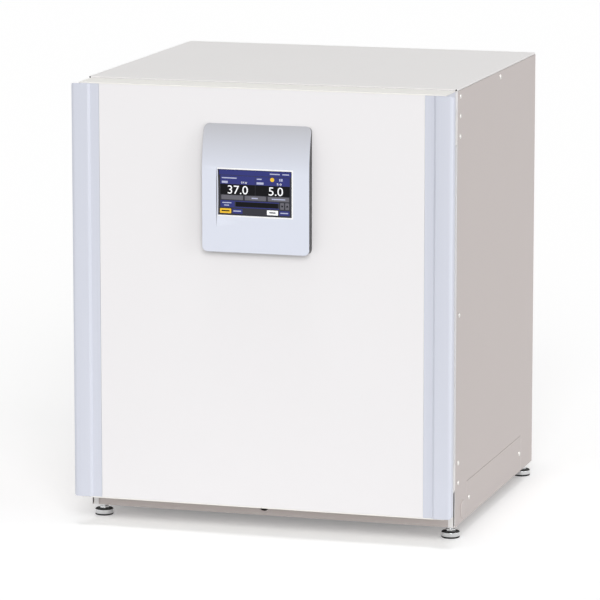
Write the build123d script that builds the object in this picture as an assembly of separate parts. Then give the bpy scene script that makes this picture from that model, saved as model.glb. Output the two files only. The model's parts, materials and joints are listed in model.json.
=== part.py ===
from build123d import *
import math
import os

# A carbon dioxide incubator: a sheet steel cabinet on four levelling feet, an insulated outer door
# with a display, an inner glass door, and a stainless chamber with shelves, a fan and a water pan.
# Lengths are millimetres. X runs to the right, Y from the front to the back, Z up from the floor.

# Cabinet
CABINET_WIDTH = 764.0
CABINET_DEPTH = 660.0
CABINET_TOP = 905.0
FOOT_HEIGHT = 26.0
SHEET = 1.2
RETURN_FLANGE = 14.0
PANEL_SEAM = 0.6
TOP_HEM = 3.0
TOP_SEAM = 1.2
TOP_LIP_DEPTH = 20.0
TOP_LIP_GAP = 0.4
TOP_CORNER_RADIUS = 5.0
PLINTH_HEIGHT = 26.0
PLINTH_HOLE_X = -15.6
PLINTH_HOLE_DROP = 7.0
PLINTH_HOLE_RADIUS = 10.0
CORNER_SLOT_HEIGHT = 75.0
CORNER_SLOT_WIDTH = 2.2
CORNER_RELIEF_RADIUS = 2.2

# Outer door
DOOR_REACH = 77.0
PANEL_DROP = 4.0
DOOR_GAP = 2.5
DOOR_BODY_INSET = 4.0
DOOR_BOTTOM_GAP = 31.0
DOOR_TOP_GAP = 2.5
DOOR_SHEET = 1.6
DOOR_CAP = 2.4
SKIN_RETURN = 10.0
STRIP_OVERHANG = 12.0
STRIP_FACE_WIDTH = 35.4
STRIP_STEP_WIDTH = 4.9
STRIP_INNER_WIDTH = 18.2
STRIP_CORNER_RADIUS = 8.5
STRIP_END_RADIUS = 6.0
LIP_WALL = 2.0
LIP_DEPTH = 15.0
LINER_WALL = 1.5
DOOR_RECESS_DEPTH = 33.5
DOOR_RECESS_MARGIN = 26.0
DOOR_RECESS_RADIUS = 14.0
GASKET_SETBACK = 2.0
GASKET_WIDTH = 10.0
GASKET_GROOVE = 1.0

# Outer hinges
HINGE_INSET = 8.0
HINGE_OFFSET = 14.0
HINGE_TOP_GAP = 51.0
HINGE_BOTTOM_GAP = 42.0
HINGE_HEIGHT = 56.0
HINGE_RADIUS = 7.0
HINGE_PIN_RADIUS = 4.0
HINGE_PLATE = 3.0
HINGE_EAR = 6.0
HINGE_PLATE_WIDTH = 17.0
POCKET_SIDE_GAP = 5.0
POCKET_FRONT_GAP = 6.0
POCKET_END_GAP = 3.0
RUNNING_GAP = 0.06
SOFT_GAP = 0.3

# Display housing and display
BEZEL_WIDTH = 221.0
BEZEL_HEIGHT = 254.0
BEZEL_MID_X = -4.0
BEZEL_DROP = 72.2
BEZEL_PROUD = 19.0
BEZEL_TOP_PROUD = 1.5
BEZEL_CURVE = 95.0
BEZEL_RADIUS = 11.0
DISPLAY_WIDTH = 152.4
DISPLAY_HEIGHT = 91.4
DISPLAY_SIDE_MARGIN = 32.5
DISPLAY_TOP_MARGIN = 88.5
DISPLAY_THICKNESS = 2.5
DISPLAY_SINK = 0.8
DISPLAY_LEDGE = 4.0
DISH_DEPTH = 4.5
DISH_HEIGHT = 124.0
DISH_MARGIN = 2.8
DISH_DROP = 8.5
BOARD_THICKNESS = 1.6
BOARD_STANDOFF = 4.0
BOARD_STANDOFF_RADIUS = 3.0

# Chamber and its insulation
SIDE_WALL = 62.0
TOP_WALL = 63.0
BASE_BAY = 78.0
FLOOR_WALL = 38.0
FOAM_BACK_WALL = 60.0
REAR_BAY = 74.8
CHAMBER_SHEET = 1.0
CHAMBER_CORNER = 20.0

# Inner glass door
GLASS_OVERLAP = 10.0
GLASS_THICKNESS = 5.0
GLASS_CORNER = 22.0
GLASS_GASKET = 9.0
GLASS_GASKET_MARGIN = 0.5
GLASS_HINGE_GAP = 7.0
GLASS_HINGE_RADIUS = 5.0
GLASS_PIN_RADIUS = 2.5
GLASS_CLAMP_LENGTH = 28.0
GLASS_CLAMP_HEIGHT = 22.0
GLASS_CLAMP_PLATE = 3.0
GLASS_EAR = 4.0
GLASS_HINGE_INSET = 90.0
GLASS_KNOB_RADIUS = 11.0
GLASS_KNOB_BASE = 2.0
GLASS_KNOB_NECK_RADIUS = 6.0
GLASS_KNOB_NECK = 5.0
GLASS_KNOB_GRIP_RADIUS = 9.4
GLASS_KNOB_END_RADIUS = 7.7
GLASS_KNOB_LENGTH = 14.0
GLASS_KNOB_INSET = 26.0

# Shelves, racks and water pan
SHELF_COUNT = 3
SHELF_PITCH = 150.0
SHELF_RISE = 188.0
SHELF_SIDE_GAP = 27.0
SHELF_FRONT = 35.0
SHELF_BACK_GAP = 12.0
SHELF_SHEET = 1.2
SHELF_RIM = 14.0
SHELF_LIP_GAP = 2.0
SHELF_SLOTS_ACROSS = 9
SHELF_SLOTS_DEEP = 5
SLOT_LENGTH = 44.0
SLOT_WIDTH = 12.0
RACK_POST_WIDTH = 24.0
RACK_SHEET = 1.5
RACK_STUD = 6.0
RACK_LEDGE = 34.0
RACK_INSET = 60.0
RACK_END_GAP = 50.0
RACK_NOTCH_PITCH = 50.0
RACK_NOTCH_WIDTH = 10.0
RACK_NOTCH_HEIGHT = 5.0
PAN_SIDE_GAP = 50.0
PAN_BACK_GAP = 35.0
PAN_HEIGHT = 46.0
PAN_FRONT = 42.0
PAN_SHEET = 1.0
PAN_CORNER = 30.0
PAN_FLANGE = 8.0

# Air duct and fan
DUCT_SIDE_GAP = 120.0
DUCT_DEPTH = 46.0
DUCT_BOTTOM_GAP = 30.0
DUCT_TOP_GAP = 16.0
FAN_DROP = 107.0
FAN_RADIUS = 52.0
FAN_HUB_RADIUS = 14.0
FAN_BLADES = 10
FAN_BLADE_THICKNESS = 1.6
FAN_BLADE_DEPTH = 22.0
FAN_BLADE_LEAN = 20.0
FAN_DISC = 1.6
FAN_SHAFT_RADIUS = 4.0
FAN_WALL_GAP = 8.0
GRILLE_RADIUS = 48.0
GRILLE_SLOTS = 9
GRILLE_SLOT_WIDTH = 5.0
MOTOR_RADIUS = 36.0
MOTOR_LENGTH = 44.0
MOTOR_FLANGE = 4.0
SHAFT_HOLE_RADIUS = 8.0

# Services
PORT_SIDE_GAP = 65.0
PORT_DROP = 142.0
PORT_BORE = 15.0
PORT_WALL = 2.5
PORT_FLANGE_RADIUS = 26.0
PORT_FLANGE = 4.0
STOPPER_LENGTH = 34.0
STOPPER_HEAD = 14.0
SPACER_LENGTH = 19.0
SPACER_HEIGHT = 43.0
SPACER_WIDTH = 30.0
SPACER_DROP = 50.0
SPACER_INSET = 7.0
ACCESS_COVER_START = 95.0
ACCESS_COVER_LENGTH = 466.0
ACCESS_COVER_HEIGHT = 76.0
ACCESS_COVER_SEAM = 0.8
ACCESS_COVER_LAP = 10.0
PLUG_RADIUS = 18.0
PLUG_FROM_FRONT = 60.0
PLUG_RISE = 26.0
PLUG_HEAD = 2.0
PLUG_NECK = 15.0
SCREW_RADIUS = 4.0
SCREW_HEAD = 1.6
SCREW_SHANK_RADIUS = 1.6
SCREW_SHANK = 5.0
SCREW_RELIEF_RADIUS = 3.0
SCREW_FROM_FRONT = 22.0
SCREW_FROM_TOP = 16.0
HINGE_SCREW_START = 14.0
HINGE_SCREW_PITCH = 40.5
COVER_SCREW_INSET = 17.0
GAS_INSET = 132.0
GAS_DROP = 265.0
GAS_RADIUS = 3.0
GAS_LENGTH = 18.0
GAS_NUT = 6.0
POWER_INSET = 132.0
POWER_RISE = 52.0
SWITCH_PITCH = 60.0
SWITCH_WIDTH = 22.0
SWITCH_HEIGHT = 30.0
SWITCH_WALL = 2.0
SWITCH_RIM = 2.0
SWITCH_DEPTH = 20.0
SWITCH_PIN_RADIUS = 1.5
SWITCH_PIN_DEPTH = 6.0
ROCKER_WIDTH = 16.0
ROCKER_END_GAP = 2.5
ROCKER_FACE = 7.0
ROCKER_DIP = 2.0
ROCKER_TILT = 10.0
INLET_RIM = 3.0
INLET_DEPTH = 24.0
INLET_HOLLOW = 18.0
INLET_PIN_LENGTH = 15.0
INLET_PIN_PITCH = 7.0
INLET_PIN_WIDTH = 2.0
INLET_PIN_HEIGHT = 4.0
VENT_ROWS = 6
VENT_PITCH = 14.0
VENT_RISE = 216.0
VENT_LENGTH = 90.0
VENT_WIDTH = 4.0
VENT_X = 140.0
SENSOR_X = 110.0
SENSOR_DROP = 242.0
SENSOR_RADIUS = 11.0
SENSOR_LENGTH = 34.0
SENSOR_COLLAR = 3.6
PROBE_X = 60.0
PROBE_RADIUS = 3.0
LAMP_X = -110.0
LAMP_RADIUS = 8.0
LAMP_LENGTH = 220.0
LAMP_DROP = 202.0
LAMP_OFFSET = 22.0
LAMP_HOLDER = 12.0
UNIT_X = 60.0
UNIT_HALF_WIDTH = 110.0
UNIT_LENGTH = 200.0
UNIT_BACK_GAP = 60.0
UNIT_HEIGHT = 60.0
UNIT_EDGE = 4.0
VALVE_HALF_WIDTH = 16.0
VALVE_DEPTH = 30.0
VALVE_HALF_HEIGHT = 20.0
VALVE_COIL_RADIUS = 11.0
VALVE_COIL_LENGTH = 30.0

# Levelling feet
FOOT_SIDE_INSET = 16.0
FOOT_FRONT_INSET = 28.0
FOOT_REAR_INSET = 27.0
FOOT_PAD_RADIUS = 18.5
FOOT_PAD = 3.6
FOOT_BAND = 8.0
FOOT_CUP = 1.4
FOOT_CUP_TOP_RADIUS = 17.5
FOOT_HEX = 18.0
FOOT_HEX_HEIGHT = 5.0
FOOT_LOCK_NUT = 6.0
FOOT_STEM_RADIUS = 6.0
FOOT_STEM_ABOVE = 28.0
FOOT_NUT_RADIUS = 12.0
FOOT_NUT_HEIGHT = 14.0

# Places of the cabinet
HALF_WIDTH = CABINET_WIDTH / 2
PANEL_REACH = DOOR_REACH - PANEL_DROP
OVERALL_DEPTH = PANEL_REACH + BEZEL_PROUD + CABINET_DEPTH + SPACER_LENGTH
FRONT = -OVERALL_DEPTH / 2 + PANEL_REACH + BEZEL_PROUD
BACK = FRONT + CABINET_DEPTH
BASE_TOP = FOOT_HEIGHT + 2 * SHEET
PLINTH_TOP = FOOT_HEIGHT + PLINTH_HEIGHT
INNER_HALF = HALF_WIDTH - SHEET
FRAME_HALF = HALF_WIDTH - RETURN_FLANGE - PANEL_SEAM
WALL_TOP = CABINET_TOP - TOP_HEM - TOP_SEAM
ACCESS_COVER_END = ACCESS_COVER_START + ACCESS_COVER_LENGTH
ACCESS_COVER_TOP = FOOT_HEIGHT + ACCESS_COVER_HEIGHT
PLUG_Z = FOOT_HEIGHT + PLUG_RISE

# Places of the chamber
CHAMBER_HALF = HALF_WIDTH - SIDE_WALL
FOAM_BOTTOM = FOOT_HEIGHT + BASE_BAY
FOAM_TOP = CABINET_TOP - TOP_HEM - TOP_LIP_DEPTH
CHAMBER_FLOOR = FOAM_BOTTOM + FLOOR_WALL
CHAMBER_TOP = CABINET_TOP - TOP_WALL
CHAMBER_MID_Z = (CHAMBER_FLOOR + CHAMBER_TOP) / 2
CHAMBER_FRONT = FRONT + SHEET
FOAM_BACK = BACK - REAR_BAY
CHAMBER_BACK = FOAM_BACK - FOAM_BACK_WALL - CHAMBER_SHEET
DUCT_FACE = CHAMBER_BACK - DUCT_DEPTH
DUCT_HALF_WIDTH = CHAMBER_HALF - DUCT_SIDE_GAP
FAN_Z = CHAMBER_TOP - FAN_DROP
RACK_FACE = CHAMBER_HALF - RACK_STUD
SHELF_START = CHAMBER_FRONT + SHELF_FRONT
SHELF_END = DUCT_FACE - SHELF_BACK_GAP
SHELF_HALF_WIDTH = CHAMBER_HALF - SHELF_SIDE_GAP
PORT_X = PORT_SIDE_GAP - CHAMBER_HALF
PORT_Z = CHAMBER_TOP - PORT_DROP
GAS_X = HALF_WIDTH - GAS_INSET
GAS_Z = CABINET_TOP - GAS_DROP
POWER_X = HALF_WIDTH - POWER_INSET
SWITCH_X = POWER_X - SWITCH_PITCH
POWER_Z = FOOT_HEIGHT + POWER_RISE
SENSOR_Z = CHAMBER_TOP - SENSOR_DROP
LAMP_TOP = CHAMBER_TOP - LAMP_DROP

# Places of the doors
GLASS_BACK = FRONT - GLASS_GASKET
GLASS_FRONT = GLASS_BACK - GLASS_THICKNESS
GLASS_MID_Y = (GLASS_BACK + GLASS_FRONT) / 2
GLASS_HALF = CHAMBER_HALF + GLASS_OVERLAP
GLASS_HINGE_X = GLASS_HALF + GLASS_HINGE_GAP
RECESS_HALF = CHAMBER_HALF + DOOR_RECESS_MARGIN
RECESS_BOTTOM = CHAMBER_FLOOR - DOOR_RECESS_MARGIN
RECESS_TOP = CHAMBER_TOP + DOOR_RECESS_MARGIN
DOOR_BODY_HALF = HALF_WIDTH - DOOR_BODY_INSET
DOOR_OVERALL_HALF = HALF_WIDTH + STRIP_OVERHANG
DOOR_BOTTOM = FOOT_HEIGHT + DOOR_BOTTOM_GAP
DOOR_TOP = CABINET_TOP - DOOR_TOP_GAP
DOOR_BODY_BOTTOM = DOOR_BOTTOM + DOOR_CAP
DOOR_BODY_TOP = DOOR_TOP - DOOR_CAP
DOOR_BACK = FRONT - DOOR_GAP
PANEL_FACE = FRONT - PANEL_REACH
STRIP_FACE = FRONT - DOOR_REACH
FOAM_FACE = PANEL_FACE + DOOR_SHEET
RECESS_FLOOR = DOOR_BACK - DOOR_RECESS_DEPTH
STRIP_STEP_END = DOOR_OVERALL_HALF - STRIP_FACE_WIDTH
STRIP_STEP_START = STRIP_STEP_END - STRIP_STEP_WIDTH
STRIP_INNER_EDGE = STRIP_STEP_START - STRIP_INNER_WIDTH
HINGE_X = HALF_WIDTH - HINGE_INSET
HINGE_Y = FRONT - HINGE_OFFSET
HINGE_HEIGHTS = (DOOR_BOTTOM + HINGE_BOTTOM_GAP, DOOR_TOP - HINGE_TOP_GAP - HINGE_HEIGHT)
BEZEL_LEFT = BEZEL_MID_X - BEZEL_WIDTH / 2
BEZEL_RIGHT = BEZEL_MID_X + BEZEL_WIDTH / 2
BEZEL_TOP = DOOR_TOP - BEZEL_DROP
BEZEL_BOTTOM = BEZEL_TOP - BEZEL_HEIGHT
DISPLAY_LEFT = BEZEL_LEFT + DISPLAY_SIDE_MARGIN
DISPLAY_MID_X = DISPLAY_LEFT + DISPLAY_WIDTH / 2
DISPLAY_MID_Z = BEZEL_TOP - DISPLAY_TOP_MARGIN - DISPLAY_HEIGHT / 2
DISH_LEFT = DISPLAY_LEFT - DISH_MARGIN
DISH_MID_Z = DISPLAY_MID_Z - DISH_DROP
CUT = 1.0


def block(x0, x1, y0, y1, z0, z1):
    """A box between two corners."""
    return Pos((x0 + x1) / 2, (y0 + y1) / 2, (z0 + z1) / 2) * Box(x1 - x0, y1 - y0, z1 - z0)


def upright(x, y, z0, z1, radius):
    """A round bar standing along Z."""
    return Pos(x, y, (z0 + z1) / 2) * Cylinder(radius, z1 - z0)


def across(x0, x1, y, z, radius):
    """A round bar lying along X."""
    return Pos((x0 + x1) / 2, y, z) * Rot(0, 90, 0) * Cylinder(radius, x1 - x0)


def deep(x, y0, y1, z, radius):
    """A round bar lying along Y."""
    return Pos(x, (y0 + y1) / 2, z) * Rot(90, 0, 0) * Cylinder(radius, y1 - y0)


def deep_plate(x0, x1, y0, y1, z0, z1, radius):
    """A plate facing the front, with its four corners rounded."""
    outline = RectangleRounded(x1 - x0, z1 - z0, radius)
    return Pos((x0 + x1) / 2, y1, (z0 + z1) / 2) * Rot(90, 0, 0) * extrude(outline, y1 - y0)


def mirrored(shape):
    """The same piece on the left side."""
    return mirror(shape, about=Plane.YZ)


def pair(shape):
    """A piece and its mirror image, as two solids of one node."""
    return Compound([shape, mirrored(shape)])


def chamber_block(grow, y0, y1):
    """The chamber's rounded outline, grown outwards, between two depths."""
    return deep_plate(
        -CHAMBER_HALF - grow, CHAMBER_HALF + grow, y0, y1,
        CHAMBER_FLOOR - grow, CHAMBER_TOP + grow, CHAMBER_CORNER + grow,
    )


def recess_block(grow, y0, y1):
    """The door recess's rounded outline, grown outwards, between two depths."""
    return deep_plate(
        -RECESS_HALF - grow, RECESS_HALF + grow, y0, y1,
        RECESS_BOTTOM - grow, RECESS_TOP + grow, DOOR_RECESS_RADIUS + grow,
    )


def hinge_pockets(y1):
    """The two spaces at the door's hinged edge that clear the cabinet's hinge brackets."""
    left = HINGE_X - HINGE_PLATE_WIDTH + HINGE_RADIUS - POCKET_SIDE_GAP
    front = HINGE_Y - HINGE_RADIUS - POCKET_FRONT_GAP
    pockets = []
    for z in HINGE_HEIGHTS:
        pockets.append(block(
            left, DOOR_OVERALL_HALF + CUT, front, y1,
            z - POCKET_END_GAP, z + HINGE_HEIGHT + POCKET_END_GAP,
        ))
    return pockets


def side_screw_places():
    """Depth from the front and height of each screw in a side panel."""
    lower_hinge, upper_hinge = HINGE_HEIGHTS
    places = [(SCREW_FROM_FRONT, CABINET_TOP - SCREW_FROM_TOP), (SCREW_FROM_FRONT, CABINET_TOP / 2)]
    for z in (lower_hinge, upper_hinge):
        places.append((SCREW_FROM_FRONT, z + HINGE_SCREW_START))
        places.append((SCREW_FROM_FRONT, z + HINGE_SCREW_START + HINGE_SCREW_PITCH))
    cover_z = (FOOT_HEIGHT + FOAM_BOTTOM) / 2
    places.append((ACCESS_COVER_START + COVER_SCREW_INSET, cover_z))
    places.append((ACCESS_COVER_END - COVER_SCREW_INSET, cover_z))
    return places


def side_panel():
    skin = block(INNER_HALF, HALF_WIDTH, FRONT, BACK, FOOT_HEIGHT, WALL_TOP)
    inner = HALF_WIDTH - RETURN_FLANGE
    front_return = block(inner, HALF_WIDTH, FRONT, FRONT + SHEET, FOOT_HEIGHT, WALL_TOP)
    back_return = block(inner, HALF_WIDTH, BACK - SHEET, BACK, FOOT_HEIGHT, WALL_TOP)
    panel = skin + front_return + back_return
    slot_x = INNER_HALF - CORNER_SLOT_WIDTH / 2
    slot_top = FOOT_HEIGHT + CORNER_SLOT_HEIGHT
    panel -= block(
        slot_x - CORNER_SLOT_WIDTH / 2, slot_x + CORNER_SLOT_WIDTH / 2,
        FRONT - CUT, FRONT + SHEET, FOOT_HEIGHT - CUT, slot_top,
    )
    panel -= deep(slot_x, FRONT - CUT, FRONT + SHEET, slot_top, CORNER_RELIEF_RADIUS)
    panel -= block(
        INNER_HALF - CUT, HALF_WIDTH + CUT, FRONT + ACCESS_COVER_START, FRONT + ACCESS_COVER_END,
        FOOT_HEIGHT - CUT, ACCESS_COVER_TOP,
    )
    panel -= across(INNER_HALF - CUT, HALF_WIDTH + CUT, FRONT + PLUG_FROM_FRONT, PLUG_Z, PLUG_NECK)
    for y, z in side_screw_places():
        panel -= across(INNER_HALF - CUT, HALF_WIDTH + CUT, FRONT + y, z, SCREW_SHANK_RADIUS)
    return panel


def access_cover():
    y0 = FRONT + ACCESS_COVER_START
    y1 = FRONT + ACCESS_COVER_END
    face = block(
        INNER_HALF, HALF_WIDTH, y0 + ACCESS_COVER_SEAM, y1 - ACCESS_COVER_SEAM,
        FOOT_HEIGHT, ACCESS_COVER_TOP - ACCESS_COVER_SEAM,
    )
    lap = block(
        INNER_HALF - SHEET, INNER_HALF, y0 - ACCESS_COVER_LAP, y1 + ACCESS_COVER_LAP,
        BASE_TOP, FOAM_BOTTOM,
    )
    cover = face + lap
    for y, z in side_screw_places():
        cover -= across(INNER_HALF - 2 * SHEET, HALF_WIDTH + CUT, FRONT + y, z, SCREW_SHANK_RADIUS)
    return cover


def top_panel():
    hem = block(-HALF_WIDTH, HALF_WIDTH, FRONT, BACK, CABINET_TOP - TOP_HEM, CABINET_TOP)
    hem = fillet(hem.edges().filter_by(Axis.Z), TOP_CORNER_RADIUS)
    hem = fillet(hem.faces().sort_by(Axis.Z)[-1].edges(), SHEET)
    side = INNER_HALF - TOP_LIP_GAP
    front = FRONT + SHEET + TOP_LIP_GAP
    back = BACK - SHEET - TOP_LIP_GAP
    lip = block(-side, side, front, back, FOAM_TOP, CABINET_TOP - TOP_HEM)
    lip -= block(
        -side + SHEET, side - SHEET, front + SHEET, back - SHEET,
        FOAM_TOP - CUT, CABINET_TOP - TOP_HEM + CUT,
    )
    panel = hem + lip
    for y, z in side_screw_places():
        panel -= across(-side - CUT, side + CUT, FRONT + y, z, SCREW_SHANK_RADIUS)
    return panel


def back_panel():
    panel = block(-FRAME_HALF, FRAME_HALF, BACK - SHEET, BACK, FOOT_HEIGHT, WALL_TOP)
    panel -= deep(PORT_X, BACK - SHEET - CUT, BACK + CUT, PORT_Z, PORT_BORE + PORT_WALL)
    panel -= deep(GAS_X, BACK - SHEET - CUT, BACK + CUT, GAS_Z, 2 * GAS_RADIUS)
    half = SWITCH_WIDTH / 2
    for x in (POWER_X, SWITCH_X):
        panel -= block(
            x - half, x + half, BACK - SHEET - CUT, BACK + CUT,
            POWER_Z - SWITCH_HEIGHT / 2, POWER_Z + SWITCH_HEIGHT / 2,
        )
    for row in range(VENT_ROWS):
        for column in (-1, 1):
            x = column * VENT_X
            z = FOOT_HEIGHT + VENT_RISE + row * VENT_PITCH
            panel -= block(
                x - VENT_LENGTH / 2, x + VENT_LENGTH / 2, BACK - SHEET - CUT, BACK + CUT,
                z - VENT_WIDTH / 2, z + VENT_WIDTH / 2,
            )
    return panel


def foot_places():
    """Centre of each levelling foot, by name."""
    places = {}
    for depth_name, y in (("front", FRONT + FOOT_FRONT_INSET), ("rear", BACK - FOOT_REAR_INSET)):
        for side_name, side in (("left", -1), ("right", 1)):
            places[depth_name + "_" + side_name] = (side * (HALF_WIDTH - FOOT_SIDE_INSET), y)
    return places


def base_pan():
    front = FRONT + SHEET
    back = BACK - SHEET
    pan = block(-INNER_HALF, INNER_HALF, front, back, FOOT_HEIGHT, BASE_TOP)
    pan += block(-FRAME_HALF, FRAME_HALF, FRONT, front, FOOT_HEIGHT, PLINTH_TOP)
    pan += block(-FRAME_HALF, FRAME_HALF, back - SHEET, back, FOOT_HEIGHT, PLINTH_TOP)
    for x, y in foot_places().values():
        pan += upright(x, y, BASE_TOP, BASE_TOP + FOOT_NUT_HEIGHT, FOOT_NUT_RADIUS)
        pan -= upright(x, y, FOOT_HEIGHT - CUT, PLINTH_TOP, FOOT_STEM_RADIUS + RUNNING_GAP)
    pan -= deep(PLINTH_HOLE_X, FRONT - CUT, front, PLINTH_TOP - PLINTH_HOLE_DROP, PLINTH_HOLE_RADIUS)
    return pan


def front_frame():
    frame = block(
        -FRAME_HALF, FRAME_HALF, FRONT, FRONT + SHEET, PLINTH_TOP + PANEL_SEAM, WALL_TOP,
    )
    return frame - chamber_block(0, FRONT - CUT, FRONT + SHEET + CUT)


def insulation():
    foam = block(-INNER_HALF, INNER_HALF, CHAMBER_FRONT, FOAM_BACK, FOAM_BOTTOM, FOAM_TOP)
    foam -= chamber_block(CHAMBER_SHEET, CHAMBER_FRONT - CUT, CHAMBER_BACK + CHAMBER_SHEET)
    foam -= deep(0, CHAMBER_BACK, FOAM_BACK + CUT, FAN_Z, SHAFT_HOLE_RADIUS)
    foam -= deep(PORT_X, CHAMBER_BACK, FOAM_BACK + CUT, PORT_Z, PORT_BORE + PORT_WALL)
    relief = HALF_WIDTH - SCREW_SHANK - SOFT_GAP
    for y, z in side_screw_places():
        hole = across(relief, HALF_WIDTH, FRONT + y, z, SCREW_RELIEF_RADIUS)
        foam = foam - hole - mirrored(hole)
    return foam


def chamber_liner():
    liner = chamber_block(CHAMBER_SHEET, CHAMBER_FRONT, CHAMBER_BACK + CHAMBER_SHEET)
    liner -= chamber_block(0, CHAMBER_FRONT - CUT, CHAMBER_BACK)
    liner -= deep(0, CHAMBER_BACK - CUT, FOAM_BACK, FAN_Z, SHAFT_HOLE_RADIUS)
    liner -= deep(PORT_X, CHAMBER_BACK - CUT, FOAM_BACK, PORT_Z, PORT_BORE + PORT_WALL)
    return liner


def glass_gasket():
    ring = chamber_block(GLASS_OVERLAP - GLASS_GASKET_MARGIN, FRONT - GLASS_GASKET, FRONT)
    return ring - chamber_block(GLASS_GASKET_MARGIN, FRONT - GLASS_GASKET - CUT, FRONT + CUT)


def shelf_heights():
    return [CHAMBER_FLOOR + SHELF_RISE + index * SHELF_PITCH for index in range(SHELF_COUNT)]


def shelf_rack():
    """Two notched posts on studs and a ledge for each shelf, on the right chamber wall."""
    outer = RACK_FACE
    inner = outer - RACK_SHEET
    bottom = CHAMBER_FLOOR + RACK_END_GAP
    top = CHAMBER_TOP - RACK_END_GAP
    fronts = (CHAMBER_FRONT + RACK_INSET, SHELF_END - RACK_INSET - RACK_POST_WIDTH)
    rack = None
    for y in fronts:
        post = block(inner, outer, y, y + RACK_POST_WIDTH, bottom, top)
        middle = y + RACK_POST_WIDTH / 2
        count = int((top - bottom) / RACK_NOTCH_PITCH)
        for index in range(count):
            z = bottom + (index + 0.5) * RACK_NOTCH_PITCH
            post -= block(
                inner - CUT, outer + CUT, middle - RACK_NOTCH_WIDTH / 2, middle + RACK_NOTCH_WIDTH / 2,
                z, z + RACK_NOTCH_HEIGHT,
            )
        for z in (bottom + RACK_STUD, top - RACK_STUD):
            post += across(outer, CHAMBER_HALF, middle, z, RACK_STUD / 2)
        rack = post if rack is None else rack + post
    for z in shelf_heights():
        wall = block(inner - RACK_SHEET, inner, SHELF_START, SHELF_END, z, z + SHELF_RIM)
        ledge = block(outer - RACK_LEDGE, inner, SHELF_START, SHELF_END, z - RACK_SHEET, z)
        rack = rack + wall + ledge
    return rack


def shelf(z):
    """A stainless shelf with slots and a turned-down rim, resting on its ledges."""
    front = SHELF_START
    back = SHELF_END
    plate = block(-SHELF_HALF_WIDTH, SHELF_HALF_WIDTH, front, back, z, z + SHELF_SHEET)
    lip = SHELF_RIM
    plate += block(-SHELF_HALF_WIDTH, SHELF_HALF_WIDTH, back - SHELF_SHEET, back, z, z + lip)
    ledge_inner = RACK_FACE - RACK_LEDGE - SHELF_LIP_GAP
    plate += block(-ledge_inner, ledge_inner, front, front + SHELF_SHEET, z - lip, z)
    across_pitch = 2 * ledge_inner / (SHELF_SLOTS_ACROSS + 0.5)
    deep_pitch = (back - front) / (SHELF_SLOTS_DEEP + 0.5)
    middle = (front + back) / 2
    for column in range(SHELF_SLOTS_ACROSS):
        for row in range(SHELF_SLOTS_DEEP):
            x = (column - (SHELF_SLOTS_ACROSS - 1) / 2) * across_pitch
            y = middle + (row - (SHELF_SLOTS_DEEP - 1) / 2) * deep_pitch
            plate -= block(
                x - SLOT_LENGTH / 2, x + SLOT_LENGTH / 2, y - SLOT_WIDTH / 2, y + SLOT_WIDTH / 2,
                z - CUT, z + SHELF_SHEET + CUT,
            )
    return plate


def humidity_pan():
    """The water pan: a deep pressed tray with a flat rim, standing on the chamber floor."""
    front = CHAMBER_FRONT + PAN_FRONT
    length = DUCT_FACE - PAN_BACK_GAP - front
    width = 2 * (CHAMBER_HALF - PAN_SIDE_GAP)
    middle = front + length / 2
    outline = RectangleRounded(width, length, PAN_CORNER)
    hollow = RectangleRounded(width - 2 * PAN_SHEET, length - 2 * PAN_SHEET, PAN_CORNER - PAN_SHEET)
    rim = RectangleRounded(width + 2 * PAN_FLANGE, length + 2 * PAN_FLANGE, PAN_CORNER + PAN_FLANGE)
    pan = Pos(0, middle, CHAMBER_FLOOR) * extrude(outline, PAN_HEIGHT)
    pan += Pos(0, middle, CHAMBER_FLOOR + PAN_HEIGHT - PAN_SHEET) * extrude(rim, PAN_SHEET)
    return pan - Pos(0, middle, CHAMBER_FLOOR + PAN_SHEET) * extrude(hollow, PAN_HEIGHT)


def duct_cover():
    """The panel in front of the chamber's back wall, with the fan's intake and the air outlets."""
    bottom = CHAMBER_FLOOR + DUCT_BOTTOM_GAP
    top = CHAMBER_TOP - DUCT_TOP_GAP
    cover = block(-DUCT_HALF_WIDTH, DUCT_HALF_WIDTH, DUCT_FACE, CHAMBER_BACK, bottom, top)
    cover -= block(
        -DUCT_HALF_WIDTH + SHEET, DUCT_HALF_WIDTH - SHEET, DUCT_FACE + SHEET, CHAMBER_BACK + CUT,
        bottom - CUT, top - SHEET,
    )
    pitch = 2 * GRILLE_RADIUS / GRILLE_SLOTS
    for index in range(GRILLE_SLOTS):
        x = (index - (GRILLE_SLOTS - 1) / 2) * pitch
        half = math.sqrt(GRILLE_RADIUS ** 2 - x ** 2)
        cover -= block(
            x - GRILLE_SLOT_WIDTH / 2, x + GRILLE_SLOT_WIDTH / 2, DUCT_FACE - CUT, DUCT_FACE + 2 * SHEET,
            FAN_Z - half, FAN_Z + half,
        )
    return cover


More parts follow.
